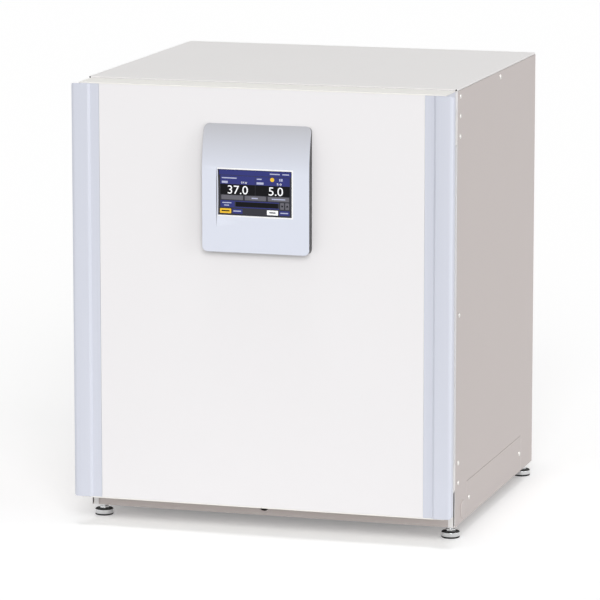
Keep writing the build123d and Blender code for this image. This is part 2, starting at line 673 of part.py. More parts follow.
def fan_wheel():
    """A radial wheel: curved blades on a back disc, with its hub and shaft."""
    disc_front = CHAMBER_BACK - FAN_WALL_GAP - FAN_DISC
    blade_front = disc_front - FAN_BLADE_DEPTH
    wheel = deep(0, disc_front, disc_front + FAN_DISC, FAN_Z, FAN_RADIUS)
    wheel += deep(0, blade_front, disc_front, FAN_Z, FAN_HUB_RADIUS)
    bend_radius = FAN_RADIUS - FAN_HUB_RADIUS
    outer = Circle(bend_radius + FAN_BLADE_THICKNESS / 2)
    inner = Circle(bend_radius - FAN_BLADE_THICKNESS / 2)
    band = Pos(FAN_RADIUS, -bend_radius * math.cos(math.radians(FAN_BLADE_LEAN))) * (outer - inner)
    ring = Circle(FAN_RADIUS) - Circle(FAN_HUB_RADIUS - FAN_BLADE_THICKNESS)
    upper = Pos(FAN_RADIUS / 2, FAN_RADIUS / 2) * Rectangle(FAN_RADIUS, FAN_RADIUS)
    blade = extrude(band & ring & upper, FAN_BLADE_DEPTH)
    for index in range(FAN_BLADES):
        turned = Rot(0, 0, index * 360 / FAN_BLADES) * blade
        wheel += Pos(0, disc_front, FAN_Z) * Rot(90, 0, 0) * turned
    shaft_end = FOAM_BACK + MOTOR_FLANGE + MOTOR_LENGTH / 2
    return wheel + deep(0, disc_front, shaft_end, FAN_Z, FAN_SHAFT_RADIUS)


def fan_motor():
    flange = deep(0, FOAM_BACK, FOAM_BACK + MOTOR_FLANGE, FAN_Z, MOTOR_RADIUS + 3 * MOTOR_FLANGE)
    can = deep(0, FOAM_BACK, FOAM_BACK + MOTOR_FLANGE + MOTOR_LENGTH, FAN_Z, MOTOR_RADIUS)
    shaft_end = FOAM_BACK + MOTOR_FLANGE + MOTOR_LENGTH / 2
    motor = flange + can
    return motor - deep(
        0, FOAM_BACK - CUT, shaft_end + SOFT_GAP, FAN_Z, FAN_SHAFT_RADIUS + RUNNING_GAP,
    )


def co2_sensor():
    body = deep(SENSOR_X, CHAMBER_BACK - SENSOR_LENGTH, CHAMBER_BACK, SENSOR_Z, SENSOR_RADIUS)
    collar_front = CHAMBER_BACK - SENSOR_COLLAR
    return body + deep(SENSOR_X, collar_front, CHAMBER_BACK, SENSOR_Z, SENSOR_RADIUS + SENSOR_COLLAR)


def temperature_sensor():
    probe = deep(PROBE_X, CHAMBER_BACK - SENSOR_LENGTH, CHAMBER_BACK, SENSOR_Z, PROBE_RADIUS)
    collar_front = CHAMBER_BACK - SENSOR_COLLAR
    return probe + deep(PROBE_X, collar_front, CHAMBER_BACK, SENSOR_Z, PROBE_RADIUS + SENSOR_COLLAR)


def uv_lamp():
    y = CHAMBER_BACK - LAMP_OFFSET
    bottom = LAMP_TOP - LAMP_LENGTH
    lamp = upright(LAMP_X, y, bottom, LAMP_TOP, LAMP_RADIUS)
    for z in (bottom - LAMP_HOLDER, LAMP_TOP):
        lamp += block(
            LAMP_X - LAMP_HOLDER, LAMP_X + LAMP_HOLDER, y - LAMP_HOLDER, CHAMBER_BACK,
            z, z + LAMP_HOLDER,
        )
    return lamp


def access_port():
    """The sleeve from the chamber to the outside, with a flange on the back panel."""
    tube = deep(PORT_X, CHAMBER_BACK, BACK + PORT_FLANGE, PORT_Z, PORT_BORE + PORT_WALL)
    tube += deep(PORT_X, BACK, BACK + PORT_FLANGE, PORT_Z, PORT_FLANGE_RADIUS)
    return tube - deep(PORT_X, CHAMBER_BACK - CUT, BACK + PORT_FLANGE + CUT, PORT_Z, PORT_BORE)


def port_stopper():
    seat = BACK + PORT_FLANGE
    body = deep(PORT_X, seat - STOPPER_LENGTH, seat, PORT_Z, PORT_BORE - RUNNING_GAP)
    head = deep(PORT_X, seat, seat + STOPPER_HEAD, PORT_Z, PORT_FLANGE_RADIUS - PORT_WALL)
    return body + chamfer(head.edges().group_by(Axis.Y)[-1], PORT_WALL)


def gas_inlet():
    """A hose nipple with its nut, screwed into the back panel."""
    nipple = deep(GAS_X, BACK, BACK + GAS_LENGTH, GAS_Z, GAS_RADIUS)
    nut = Pos(GAS_X, BACK + GAS_NUT, GAS_Z) * Rot(90, 0, 0) * extrude(
        RegularPolygon(3 * GAS_RADIUS, 6), GAS_NUT,
    )
    thread = deep(GAS_X, BACK - GAS_LENGTH, BACK, GAS_Z, 2 * GAS_RADIUS)
    return nipple + nut + thread


def gas_valve():
    """The solenoid valve behind the gas inlet: a body with its coil standing on it."""
    back = BACK - GAS_LENGTH
    body = block(
        GAS_X - VALVE_HALF_WIDTH, GAS_X + VALVE_HALF_WIDTH, back - VALVE_DEPTH, back,
        GAS_Z - VALVE_HALF_HEIGHT, GAS_Z + VALVE_HALF_HEIGHT,
    )
    coil_bottom = GAS_Z + VALVE_HALF_HEIGHT
    coil_top = coil_bottom + VALVE_COIL_LENGTH
    return body + upright(GAS_X, back - VALVE_DEPTH / 2, coil_bottom, coil_top, VALVE_COIL_RADIUS)


def panel_cutout(x, grow, y0, y1):
    """The outline shared by the mains inlet and the switch, grown outwards."""
    half = SWITCH_WIDTH / 2 + grow
    tall = SWITCH_HEIGHT / 2 + grow
    return block(x - half, x + half, y0, y1, POWER_Z - tall, POWER_Z + tall)


def power_inlet():
    """The socket shell for a mains lead, snapped into the back panel."""
    inlet = panel_cutout(POWER_X, INLET_RIM, BACK, BACK + INLET_RIM)
    inlet += panel_cutout(POWER_X, 0, BACK - INLET_DEPTH, BACK)
    floor = BACK - INLET_HOLLOW
    inlet -= panel_cutout(POWER_X, -SWITCH_WALL, floor, BACK + INLET_RIM + CUT)
    for z in (POWER_Z - INLET_PIN_PITCH, POWER_Z, POWER_Z + INLET_PIN_PITCH):
        inlet += block(
            POWER_X - INLET_PIN_WIDTH / 2, POWER_X + INLET_PIN_WIDTH / 2, floor, floor + INLET_PIN_LENGTH,
            z - INLET_PIN_HEIGHT / 2, z + INLET_PIN_HEIGHT / 2,
        )
    return inlet


def switch_frame():
    frame = panel_cutout(SWITCH_X, SWITCH_WALL, BACK, BACK + SWITCH_RIM)
    frame += panel_cutout(SWITCH_X, 0, BACK - SWITCH_DEPTH, BACK)
    half = ROCKER_WIDTH / 2 + SOFT_GAP
    tall = SWITCH_HEIGHT / 2 - SWITCH_WALL
    frame -= block(
        SWITCH_X - half, SWITCH_X + half, BACK - SWITCH_DEPTH + SWITCH_WALL, BACK + SWITCH_RIM + CUT,
        POWER_Z - tall, POWER_Z + tall,
    )
    end = SWITCH_WIDTH / 2
    pin_y = BACK - SWITCH_PIN_DEPTH
    return frame + across(SWITCH_X - end, SWITCH_X + end, pin_y, POWER_Z, SWITCH_PIN_RADIUS)


def switch_rocker():
    """A rocker with a dipped face, tilted about the pin across the switch frame."""
    tall = SWITCH_HEIGHT / 2 - SWITCH_WALL - ROCKER_END_GAP
    back = SWITCH_PIN_RADIUS - ROCKER_FACE + ROCKER_DIP
    profile = Polyline(
        (back, -tall / 2), (ROCKER_FACE / 2, -tall), (ROCKER_FACE, -tall + ROCKER_DIP / 2),
        (ROCKER_FACE - ROCKER_DIP, 0), (ROCKER_FACE, tall - ROCKER_DIP / 2), (ROCKER_FACE / 2, tall),
        (back, tall / 2), close=True,
    )
    solid = extrude(make_face(Plane.YZ * profile), ROCKER_WIDTH / 2, dir=(1, 0, 0), both=True)
    solid -= across(-ROCKER_WIDTH, ROCKER_WIDTH, 0, 0, SWITCH_PIN_RADIUS + RUNNING_GAP)
    return Pos(SWITCH_X, BACK - SWITCH_PIN_DEPTH, POWER_Z) * Rot(-ROCKER_TILT, 0, 0) * solid


def control_unit():
    """The case that holds the power supply and the controller, on the base pan."""
    back = BACK - UNIT_BACK_GAP
    case = block(
        UNIT_X - UNIT_HALF_WIDTH, UNIT_X + UNIT_HALF_WIDTH, back - UNIT_LENGTH, back,
        BASE_TOP, BASE_TOP + UNIT_HEIGHT,
    )
    return fillet(case.edges().filter_by(Axis.Z), UNIT_EDGE)


def rear_spacers():
    right = HALF_WIDTH - SPACER_INSET
    top = CABINET_TOP - SPACER_DROP
    spacer = block(right - SPACER_WIDTH, right, BACK, BACK + SPACER_LENGTH, top - SPACER_HEIGHT, top)
    spacer = chamfer(spacer.faces().sort_by(Axis.Y)[-1].edges(), SPACER_LENGTH / 6)
    return pair(spacer)


def side_plugs():
    y = FRONT + PLUG_FROM_FRONT
    head = across(HALF_WIDTH, HALF_WIDTH + PLUG_HEAD, y, PLUG_Z, PLUG_RADIUS)
    head = chamfer(head.edges().sort_by(Axis.X)[-1], PLUG_HEAD / 2)
    neck = across(HALF_WIDTH - 3 * SHEET, HALF_WIDTH, y, PLUG_Z, PLUG_NECK - RUNNING_GAP)
    return pair(head + neck)


def screw(x, y, z):
    """A pan head screw in the right side panel."""
    head = across(x, x + SCREW_HEAD, y, z, SCREW_RADIUS)
    head = chamfer(head.edges().sort_by(Axis.X)[-1], SCREW_HEAD / 2)
    return head + across(x - SCREW_SHANK, x, y, z, SCREW_SHANK_RADIUS - RUNNING_GAP)


def panel_screws():
    solids = []
    for y, z in side_screw_places():
        right = screw(HALF_WIDTH, FRONT + y, z)
        solids.append(right)
        solids.append(mirrored(right))
    return Compound(solids)


def foot_stem(x, y):
    """The threaded stem with its lock nut, hexagon and round base."""
    band_top = FOOT_PAD + FOOT_BAND
    cup_top = band_top + FOOT_CUP
    hexagon = RegularPolygon(FOOT_HEX / 2, 6, major_radius=False)
    foot = upright(x, y, FOOT_PAD, band_top, FOOT_PAD_RADIUS)
    foot += Pos(x, y, band_top + FOOT_CUP / 2) * Cone(FOOT_PAD_RADIUS, FOOT_CUP_TOP_RADIUS, FOOT_CUP)
    foot += Pos(x, y, cup_top) * extrude(hexagon, FOOT_HEX_HEIGHT)
    foot += Pos(x, y, FOOT_HEIGHT - FOOT_LOCK_NUT) * extrude(hexagon, FOOT_LOCK_NUT)
    return foot + upright(x, y, cup_top, FOOT_HEIGHT + FOOT_STEM_ABOVE, FOOT_STEM_RADIUS)


def foot_pad(x, y):
    pad = upright(x, y, 0, FOOT_PAD, FOOT_PAD_RADIUS)
    return chamfer(pad.edges().sort_by(Axis.Z)[0], FOOT_PAD / 4)


def hinge_bracket(z):
    """The cabinet's half of a hinge: a plate, an ear below and the pin that the knuckle turns on."""
    left = HINGE_X - HINGE_PLATE_WIDTH + HINGE_RADIUS
    plate = block(left, HINGE_X + HINGE_RADIUS, FRONT - HINGE_PLATE, FRONT, z, z + HINGE_HEIGHT)
    ear = block(
        HINGE_X - HINGE_RADIUS, HINGE_X + HINGE_RADIUS, HINGE_Y, FRONT - HINGE_PLATE, z, z + HINGE_EAR,
    )
    ear += upright(HINGE_X, HINGE_Y, z, z + HINGE_EAR, HINGE_RADIUS)
    pin = upright(HINGE_X, HINGE_Y, z, z + HINGE_HEIGHT - HINGE_EAR, HINGE_PIN_RADIUS)
    return plate + ear + pin


def door_knuckle(z):
    """The door's half of a hinge: a knuckle on an arm from the wall of its pocket."""
    left = HINGE_X - HINGE_PLATE_WIDTH + HINGE_RADIUS - POCKET_SIDE_GAP
    z0 = z + HINGE_EAR + SOFT_GAP
    z1 = z + HINGE_HEIGHT - HINGE_EAR
    front = HINGE_Y - HINGE_RADIUS - POCKET_FRONT_GAP
    knuckle = upright(HINGE_X, HINGE_Y, z0, z1, HINGE_RADIUS)
    arm = block(left, HINGE_X, HINGE_Y - HINGE_RADIUS, HINGE_Y, z0, z1)
    foot = block(left, left + HINGE_PLATE, front, HINGE_Y, z0, z1)
    return knuckle + arm + foot - upright(
        HINGE_X, HINGE_Y, z0 - CUT, z1 + CUT, HINGE_PIN_RADIUS + RUNNING_GAP,
    )


def door_skin():
    half = STRIP_INNER_EDGE - PANEL_SEAM / 2
    face = block(-half, half, PANEL_FACE, FOAM_FACE, DOOR_BODY_BOTTOM, DOOR_BODY_TOP)
    for x in (-half, half - DOOR_SHEET):
        face += block(x, x + DOOR_SHEET, FOAM_FACE, FOAM_FACE + SKIN_RETURN, DOOR_BODY_BOTTOM, DOOR_BODY_TOP)
    return face


def grip_strip():
    """The right edge strip: a flank, a stepped face and a lip over the finger recess."""
    wall = DOOR_BODY_HALF - DOOR_SHEET
    lip_inside = DOOR_OVERALL_HALF - LIP_WALL
    lip_under = STRIP_FACE + LIP_WALL
    lip_end = STRIP_FACE + LIP_DEPTH
    round_x = DOOR_OVERALL_HALF - STRIP_CORNER_RADIUS
    round_y = STRIP_FACE + STRIP_CORNER_RADIUS
    turn = math.sqrt(0.5)
    inner_radius = STRIP_CORNER_RADIUS - LIP_WALL
    outline = [
        Polyline(
            (STRIP_INNER_EDGE, FOAM_FACE), (STRIP_INNER_EDGE, PANEL_FACE),
            (STRIP_STEP_START, PANEL_FACE), (STRIP_STEP_END, STRIP_FACE), (round_x, STRIP_FACE),
        ),
        ThreePointArc(
            (round_x, STRIP_FACE),
            (round_x + STRIP_CORNER_RADIUS * turn, round_y - STRIP_CORNER_RADIUS * turn),
            (DOOR_OVERALL_HALF, round_y),
        ),
        Polyline(
            (DOOR_OVERALL_HALF, round_y), (DOOR_OVERALL_HALF, lip_end), (lip_inside, lip_end),
            (lip_inside, round_y),
        ),
        ThreePointArc(
            (lip_inside, round_y),
            (round_x + inner_radius * turn, round_y - inner_radius * turn),
            (round_x, lip_under),
        ),
        Polyline(
            (round_x, lip_under), (DOOR_BODY_HALF, lip_under), (DOOR_BODY_HALF, DOOR_BACK),
            (wall, DOOR_BACK), (wall, FOAM_FACE), (STRIP_INNER_EDGE, FOAM_FACE),
        ),
    ]
    strip = Pos(0, 0, DOOR_BODY_BOTTOM) * extrude(make_face(outline), DOOR_BODY_TOP - DOOR_BODY_BOTTOM)
    return strip & deep_plate(
        -DOOR_OVERALL_HALF, DOOR_OVERALL_HALF, STRIP_FACE, DOOR_BACK,
        DOOR_BODY_BOTTOM, DOOR_BODY_TOP, STRIP_END_RADIUS,
    )


def grip_strip_right():
    strip = grip_strip()
    for pocket in hinge_pockets(DOOR_BACK + CUT):
        strip -= pocket & block(0, DOOR_BODY_HALF, FRONT - DOOR_REACH, FRONT, 0, CABINET_TOP)
    return strip


def door_cap(z0, z1):
    """The trim over one end of the door."""
    cap = block(-DOOR_BODY_HALF, DOOR_BODY_HALF, PANEL_FACE, DOOR_BACK, z0, z1)
    outer = cap.edges().filter_by(Axis.Z).group_by(Axis.Y)[0]
    return fillet(outer, DOOR_CAP)


def door_foam():
    wall = DOOR_BODY_HALF - DOOR_SHEET
    foam = block(-wall, wall, FOAM_FACE, DOOR_BACK - LINER_WALL, DOOR_BODY_BOTTOM, DOOR_BODY_TOP)
    foam -= recess_block(LINER_WALL, RECESS_FLOOR - LINER_WALL, FRONT)
    half = STRIP_INNER_EDGE - PANEL_SEAM / 2
    for x in (-half, half - DOOR_SHEET):
        foam -= block(x, x + DOOR_SHEET, FOAM_FACE - CUT, FOAM_FACE + SKIN_RETURN, 0, CABINET_TOP)
    for pocket in hinge_pockets(FRONT):
        foam -= pocket
    return foam


def door_liner():
    """The moulded inner face of the door, with the recess for the glass door."""
    wall = DOOR_BODY_HALF - DOOR_SHEET
    rim = block(-wall, wall, DOOR_BACK - LINER_WALL, DOOR_BACK, DOOR_BODY_BOTTOM, DOOR_BODY_TOP)
    basin = recess_block(LINER_WALL, RECESS_FLOOR - LINER_WALL, DOOR_BACK)
    liner = rim + basin - recess_block(0, RECESS_FLOOR, DOOR_BACK + CUT)
    liner -= gasket_ring(DOOR_BACK - GASKET_GROOVE, DOOR_BACK + CUT)
    for pocket in hinge_pockets(FRONT):
        liner -= pocket
    return liner


def gasket_ring(y0, y1):
    outside = recess_block(GASKET_SETBACK + GASKET_WIDTH, y0, y1)
    return outside - recess_block(GASKET_SETBACK, y0 - CUT, y1 + CUT)


def door_gasket():
    return gasket_ring(DOOR_BACK - GASKET_GROOVE, FRONT)


def display_tilt():
    """Turn of the display about Z, so that it sinks towards its left edge."""
    return math.degrees(math.atan2(DISH_DEPTH, DISPLAY_WIDTH))


def display_place():
    """The middle of the display's face, on the tilted plane."""
    y = PANEL_FACE - BEZEL_PROUD + DISH_DEPTH / 2 + DISPLAY_SINK
    return Pos(DISPLAY_MID_X, y, DISPLAY_MID_Z) * Rot(0, 0, -display_tilt())


def display_bezel():
    """The silver housing: flat below, curving back to a thin top edge, dished at its left."""
    face = PANEL_FACE
    front = face - BEZEL_PROUD
    curve_start = BEZEL_TOP - BEZEL_CURVE
    drop = BEZEL_PROUD - BEZEL_TOP_PROUD
    radius = (BEZEL_CURVE ** 2 + drop ** 2) / (2 * drop)
    half_turn = math.asin(BEZEL_CURVE / radius) / 2
    curve_middle = (
        front + radius - radius * math.cos(half_turn), curve_start + radius * math.sin(half_turn),
    )
    profile = [
        Polyline((face, BEZEL_TOP), (face, BEZEL_BOTTOM), (front, BEZEL_BOTTOM), (front, curve_start)),
        ThreePointArc((front, curve_start), curve_middle, (front + drop, BEZEL_TOP)),
        Line((front + drop, BEZEL_TOP), (face, BEZEL_TOP)),
    ]
    side = make_face([Plane.YZ * edge for edge in profile])
    swelling = Pos(BEZEL_LEFT, 0, 0) * extrude(side, BEZEL_RIGHT - BEZEL_LEFT, dir=(1, 0, 0))
    bezel = swelling & deep_plate(
        BEZEL_LEFT, BEZEL_RIGHT, front - CUT, face, BEZEL_BOTTOM, BEZEL_TOP, BEZEL_RADIUS,
    )
    dish_radius = (DISH_HEIGHT ** 2 / 4 + DISH_DEPTH ** 2) / (2 * DISH_DEPTH)
    dish = Pos(DISPLAY_WIDTH / 2, DISH_DEPTH - dish_radius, 0) * Rot(0, 90, 0) * Cylinder(
        dish_radius, DISPLAY_WIDTH,
    )
    bezel -= Pos(DISH_LEFT, front, DISH_MID_Z) * Rot(0, 0, -display_tilt()) * dish
    window = DISPLAY_WIDTH + SOFT_GAP
    tall = DISPLAY_HEIGHT + SOFT_GAP
    bezel -= display_place() * Pos(0, DISPLAY_THICKNESS - BEZEL_PROUD / 2, 0) * Box(
        window, BEZEL_PROUD, tall,
    )
    bezel -= display_place() * Pos(0, DISPLAY_THICKNESS + BEZEL_PROUD / 2, 0) * Box(
        window - 2 * DISPLAY_LEDGE, BEZEL_PROUD, tall - 2 * DISPLAY_LEDGE,
    )
    return bezel


def display_module():
    return display_place() * Pos(0, DISPLAY_THICKNESS / 2, 0) * Box(
        DISPLAY_WIDTH, DISPLAY_THICKNESS, DISPLAY_HEIGHT)


def display_board():
    """The controller board behind the display, standing off the door panel."""
    inset = DISPLAY_LEDGE + BOARD_STANDOFF_RADIUS
    half = DISPLAY_WIDTH / 2 - inset
    tall = DISPLAY_HEIGHT / 2 - inset
    back = PANEL_FACE - BOARD_STANDOFF
    board = block(
        DISPLAY_MID_X - half, DISPLAY_MID_X + half, back - BOARD_THICKNESS, back,
        DISPLAY_MID_Z - tall, DISPLAY_MID_Z + tall,
    )
    for x in (BOARD_STANDOFF_RADIUS - half, half - BOARD_STANDOFF_RADIUS):
        for z in (BOARD_STANDOFF_RADIUS - tall, tall - BOARD_STANDOFF_RADIUS):
            board += deep(DISPLAY_MID_X + x, back, PANEL_FACE, DISPLAY_MID_Z + z, BOARD_STANDOFF_RADIUS)
    return board


def glass_pane():
    return deep_plate(
        -GLASS_HALF, GLASS_HALF, GLASS_FRONT, GLASS_BACK, CHAMBER_FLOOR - GLASS_OVERLAP,
        CHAMBER_TOP + GLASS_OVERLAP, GLASS_CORNER,
    )


def glass_hinge_heights():
    return (CHAMBER_FLOOR + GLASS_HINGE_INSET, CHAMBER_TOP - GLASS_HINGE_INSET - GLASS_CLAMP_HEIGHT)


def glass_clamp(z):
    """The glass door's half of a hinge: a plate on the glass and a knuckle beside its edge."""
    front = GLASS_FRONT - GLASS_CLAMP_PLATE
    top = z + GLASS_CLAMP_HEIGHT
    plate = block(GLASS_HINGE_X - GLASS_CLAMP_LENGTH, GLASS_HINGE_X, front, GLASS_FRONT, z, top)
    bridge = block(GLASS_HALF, GLASS_HINGE_X, front, GLASS_MID_Y, z, top)
    knuckle = upright(GLASS_HINGE_X, GLASS_MID_Y, z, top, GLASS_HINGE_RADIUS)
    bore = upright(
        GLASS_HINGE_X, GLASS_MID_Y, z - CUT, top + CUT, GLASS_PIN_RADIUS + RUNNING_GAP,
    )
    return plate + bridge + knuckle - bore


def glass_bracket(z):
    """The frame's half of a glass hinge: a plate, an ear below and the pin."""
    ear_bottom = z - SOFT_GAP - GLASS_EAR
    ear_top = z - SOFT_GAP
    left = GLASS_HALF + SOFT_GAP
    right = GLASS_HINGE_X + GLASS_HINGE_RADIUS
    plate = block(left, right, FRONT - SHEET, FRONT, ear_bottom, z + GLASS_CLAMP_HEIGHT)
    ear = block(left, right, GLASS_MID_Y, FRONT - SHEET, ear_bottom, ear_top)
    ear += upright(GLASS_HINGE_X, GLASS_MID_Y, ear_bottom, ear_top, GLASS_HINGE_RADIUS)
    pin = upright(
        GLASS_HINGE_X, GLASS_MID_Y, ear_bottom, z + GLASS_CLAMP_HEIGHT, GLASS_PIN_RADIUS,
    )
    return plate + ear + pin


def glass_knob():
    """The pull on the glass door's free edge."""
    x = -GLASS_HALF + GLASS_KNOB_INSET
    profile = [
        (0, 0), (GLASS_KNOB_RADIUS, 0), (GLASS_KNOB_RADIUS, GLASS_KNOB_BASE),
        (GLASS_KNOB_NECK_RADIUS, GLASS_KNOB_NECK),
        (GLASS_KNOB_GRIP_RADIUS, GLASS_KNOB_LENGTH - GLASS_KNOB_BASE),
        (GLASS_KNOB_END_RADIUS, GLASS_KNOB_LENGTH), (0, GLASS_KNOB_LENGTH),
    ]
    knob = revolve(Plane.XZ * make_face(Polyline(*profile, close=True)), Axis.Z)
    return Pos(x, GLASS_FRONT, CHAMBER_MID_Z) * Rot(90, 0, 0) * knob


def build():
    """Every node of the incubator, by name."""
    parts = {
        "base_pan": base_pan(),
        "front_frame": front_frame(),
        "side_panel_right": side_panel(),
        "side_panel_left": mirrored(side_panel()),
        "top_panel": top_panel(),
        "back_panel": back_panel(),
        "access_covers": pair(access_cover()),
        "side_plugs": side_plugs(),
        "panel_screws": panel_screws(),
        "rear_spacers": rear_spacers(),
        "insulation": insulation(),
        "chamber_liner": chamber_liner(),
        "glass_gasket": glass_gasket(),
        "shelf_rack_right": shelf_rack(),
        "shelf_rack_left": mirrored(shelf_rack()),
        "duct_cover": duct_cover(),
        "fan_motor": fan_motor(),
        "fan_wheel": fan_wheel(),
        "co2_sensor": co2_sensor(),
        "temperature_sensor": temperature_sensor(),
        "uv_lamp": uv_lamp(),
        "access_port": access_port(),
        "port_stopper": port_stopper(),
        "gas_inlet": gas_inlet(),
        "gas_valve": gas_valve(),
        "power_inlet": power_inlet(),
        "switch_frame": switch_frame(),
        "switch_rocker": switch_rocker(),
        "control_unit": control_unit(),
        "humidity_pan": humidity_pan(),
        "hinge_brackets": Compound([hinge_bracket(z) for z in HINGE_HEIGHTS]),
        "door_knuckles": Compound([door_knuckle(z) for z in HINGE_HEIGHTS]),
        "door_skin": door_skin(),
        "door_foam": door_foam(),
        "door_liner": door_liner(),
        "door_gasket": door_gasket(),
        "grip_strip_right": grip_strip_right(),
        "grip_strip_left": mirrored(grip_strip()),
        "door_cap_top": door_cap(DOOR_BODY_TOP, DOOR_TOP),
        "door_cap_bottom": door_cap(DOOR_BOTTOM, DOOR_BODY_BOTTOM),
        "display_bezel": display_bezel(),
        "display_module": display_module(),
        "display_board": display_board(),
        "glass_pane": glass_pane(),
        "glass_knob": glass_knob(),
        "glass_clamps": Compound([glass_clamp(z) for z in glass_hinge_heights()]),
        "glass_brackets": Compound([glass_bracket(z) for z in glass_hinge_heights()]),
    }
    for number, z in enumerate(shelf_heights(), start=1):
        parts["shelf_" + str(number)] = shelf(z)
    for name, (x, y) in foot_places().items():
        parts["foot_" + name] = foot_stem(x, y)
        parts["foot_pad_" + name] = foot_pad(x, y)
    return parts


os.makedirs("parts", exist_ok=True)
for node, shape in build().items():
    export_step(shape, "parts/" + node + ".step")
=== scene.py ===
"""The carbon dioxide incubator's finishes, fine parts and studio, around its CAD frame."""

import json
import math

import bmesh
import bpy
from bpy.props import FloatProperty, FloatVectorProperty, PointerProperty
from mathutils import Matrix, Vector

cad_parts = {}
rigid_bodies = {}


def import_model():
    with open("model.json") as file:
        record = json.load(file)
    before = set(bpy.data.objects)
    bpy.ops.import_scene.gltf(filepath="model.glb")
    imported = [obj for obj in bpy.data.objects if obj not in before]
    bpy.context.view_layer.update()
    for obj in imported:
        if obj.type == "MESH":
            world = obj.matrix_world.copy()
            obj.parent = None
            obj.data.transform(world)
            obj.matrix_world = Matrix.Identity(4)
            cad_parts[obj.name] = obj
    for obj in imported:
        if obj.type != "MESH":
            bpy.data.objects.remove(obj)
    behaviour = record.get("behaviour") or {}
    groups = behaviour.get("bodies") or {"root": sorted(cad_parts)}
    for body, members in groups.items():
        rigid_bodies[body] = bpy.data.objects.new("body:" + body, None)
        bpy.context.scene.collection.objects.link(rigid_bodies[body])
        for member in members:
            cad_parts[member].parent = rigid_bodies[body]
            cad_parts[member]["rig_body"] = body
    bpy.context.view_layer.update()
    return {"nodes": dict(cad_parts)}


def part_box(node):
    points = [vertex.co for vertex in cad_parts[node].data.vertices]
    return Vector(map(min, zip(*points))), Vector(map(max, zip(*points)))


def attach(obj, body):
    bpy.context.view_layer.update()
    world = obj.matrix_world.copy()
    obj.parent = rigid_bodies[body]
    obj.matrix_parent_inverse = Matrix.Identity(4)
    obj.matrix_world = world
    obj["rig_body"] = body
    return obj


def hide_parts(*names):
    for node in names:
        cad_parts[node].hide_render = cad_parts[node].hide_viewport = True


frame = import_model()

bl_info = {
    "name": "Incubator finishes",
    "version": (1, 0, 0),
    "blender": (4, 5, 0),
    "location": "View3D > Sidebar > Incubator",
    "description": "Finishes, fine parts and studio for a carbon dioxide incubator",
    "category": "Object",
}

MM = 0.001
FACING_FRONT = Matrix.Rotation(math.radians(90), 4, "X")
FACING_BACK = Matrix.Rotation(math.radians(-90), 4, "X")

# What counts as one corner, as a flat join and as an edge
MERGE_DISTANCE = 0.01 * MM
FLAT_ANGLE = math.radians(0.6)
EDGE_ANGLE = math.radians(28)

# A face lies along an axis, across it, or looks up, by the part of its normal on that axis
ALONG_AXIS = 0.9
ACROSS_AXIS = 0.3
UPWARD = 0.5
LEVEL = 0.99

# Screws. The parts of a head are shares of its height or radius
SCREW_HEIGHT = 1.6 * MM
SCREW_SINK = 5 * MM
SCREW_SHANK_RADIUS = 1.5 * MM
SCREW_INSET = 12 * MM
UPPER_SCREW_DEPTH = 350 * MM
HEAD_RIM = 0.9
HEAD_ROUNDING = 0.6
RECESS_DEPTH = 0.55
RECESS_HALF_WIDTH = 0.13
RECESS_REACH = 0.42

# Details of the sheet metal, the feet and the display housing
RELIEF_RADIUS = 1.6 * MM
RELIEF_INSET = 3 * MM
RELIEF_DROP = 1.7 * MM
FOOT_BASE_HEIGHT = 14 * MM
HOUSING_CURVE = 95 * MM
HOUSING_WALL = 12 * MM

# The display's picture. A lift is the height of a layer above the screen's face
SCREEN_WIDTH = 152.4 * MM
SCREEN_HEIGHT = 91.4 * MM
SCREEN_DEPTH = 2.5 * MM
SCREEN_SINK = 0.8 * MM
SCREEN_MARGIN = 1.2
GROUND_LIFT = 0.05 * MM
FIELD_LIFT = 0.15 * MM
MARK_LIFT = 0.25 * MM
TILE_THICKNESS = MARK_LIFT - FIELD_LIFT
RIM_THICKNESS = 1.5 * MM
FIGURE_RELIEF = 0.05

# The studio
FLOOR_HALF = 60
FLOOR_LIFT = 0.24
SENSOR_WIDTH = 36


def linear(code):
    """An sRGB hex colour as the linear values that sockets and colour properties take."""
    parts = [int(code[i:i + 2], 16) / 255 for i in (1, 3, 5)]
    return tuple(c / 12.92 if c <= 0.04045 else ((c + 0.055) / 1.055) ** 2.4 for c in parts)


def body_of_node(node):
    return frame["nodes"][node]["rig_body"]


# Nodes of a material

def add_node(tree, kind, inputs=None, **settings):
    """Adds one node, sets its options, and fills its sockets with values or links."""
    node = tree.nodes.new(kind)
    for name, value in settings.items():
        setattr(node, name, value)
    for key, value in (inputs or {}).items():
        if isinstance(value, bpy.types.NodeSocket):
            tree.links.new(value, node.inputs[key])
        else:
            node.inputs[key].default_value = value
    return node


def start_material(name):
    """An empty material and its node tree."""
    material = bpy.data.materials.new(name)
    material.use_nodes = True
    material.node_tree.nodes.clear()
    return material, material.node_tree


def grain(tree, size, stretch=(1, 1, 1), detail=2.0):
    """A noise in the piece's own place: grains of a real size, longer along a stretched axis."""
    place = add_node(tree, "ShaderNodeTexCoord")
    scale = [1 / s for s in stretch]
    turned = add_node(
        tree, "ShaderNodeMapping", {"Vector": place.outputs["Object"], "Scale": scale},
    )
    noise = add_node(
        tree, "ShaderNodeTexNoise",
        {"Vector": turned.outputs["Vector"], "Scale": 1 / size, "Detail": detail},
    )
    return noise.outputs["Fac"]


def between(tree, factor, low, high):
    """A number that follows a pattern between two values."""
    spread = add_node(tree, "ShaderNodeMapRange", {"Value": factor, "To Min": low, "To Max": high})
    return spread.outputs["Result"]


def tinted(tree, factor, colour, other):
    """A colour that follows a pattern between two colours."""
    blend = add_node(
        tree, "ShaderNodeMix", {0: factor, 6: (*colour, 1), 7: (*other, 1)}, data_type="RGBA",
    )
    return blend.outputs[2]


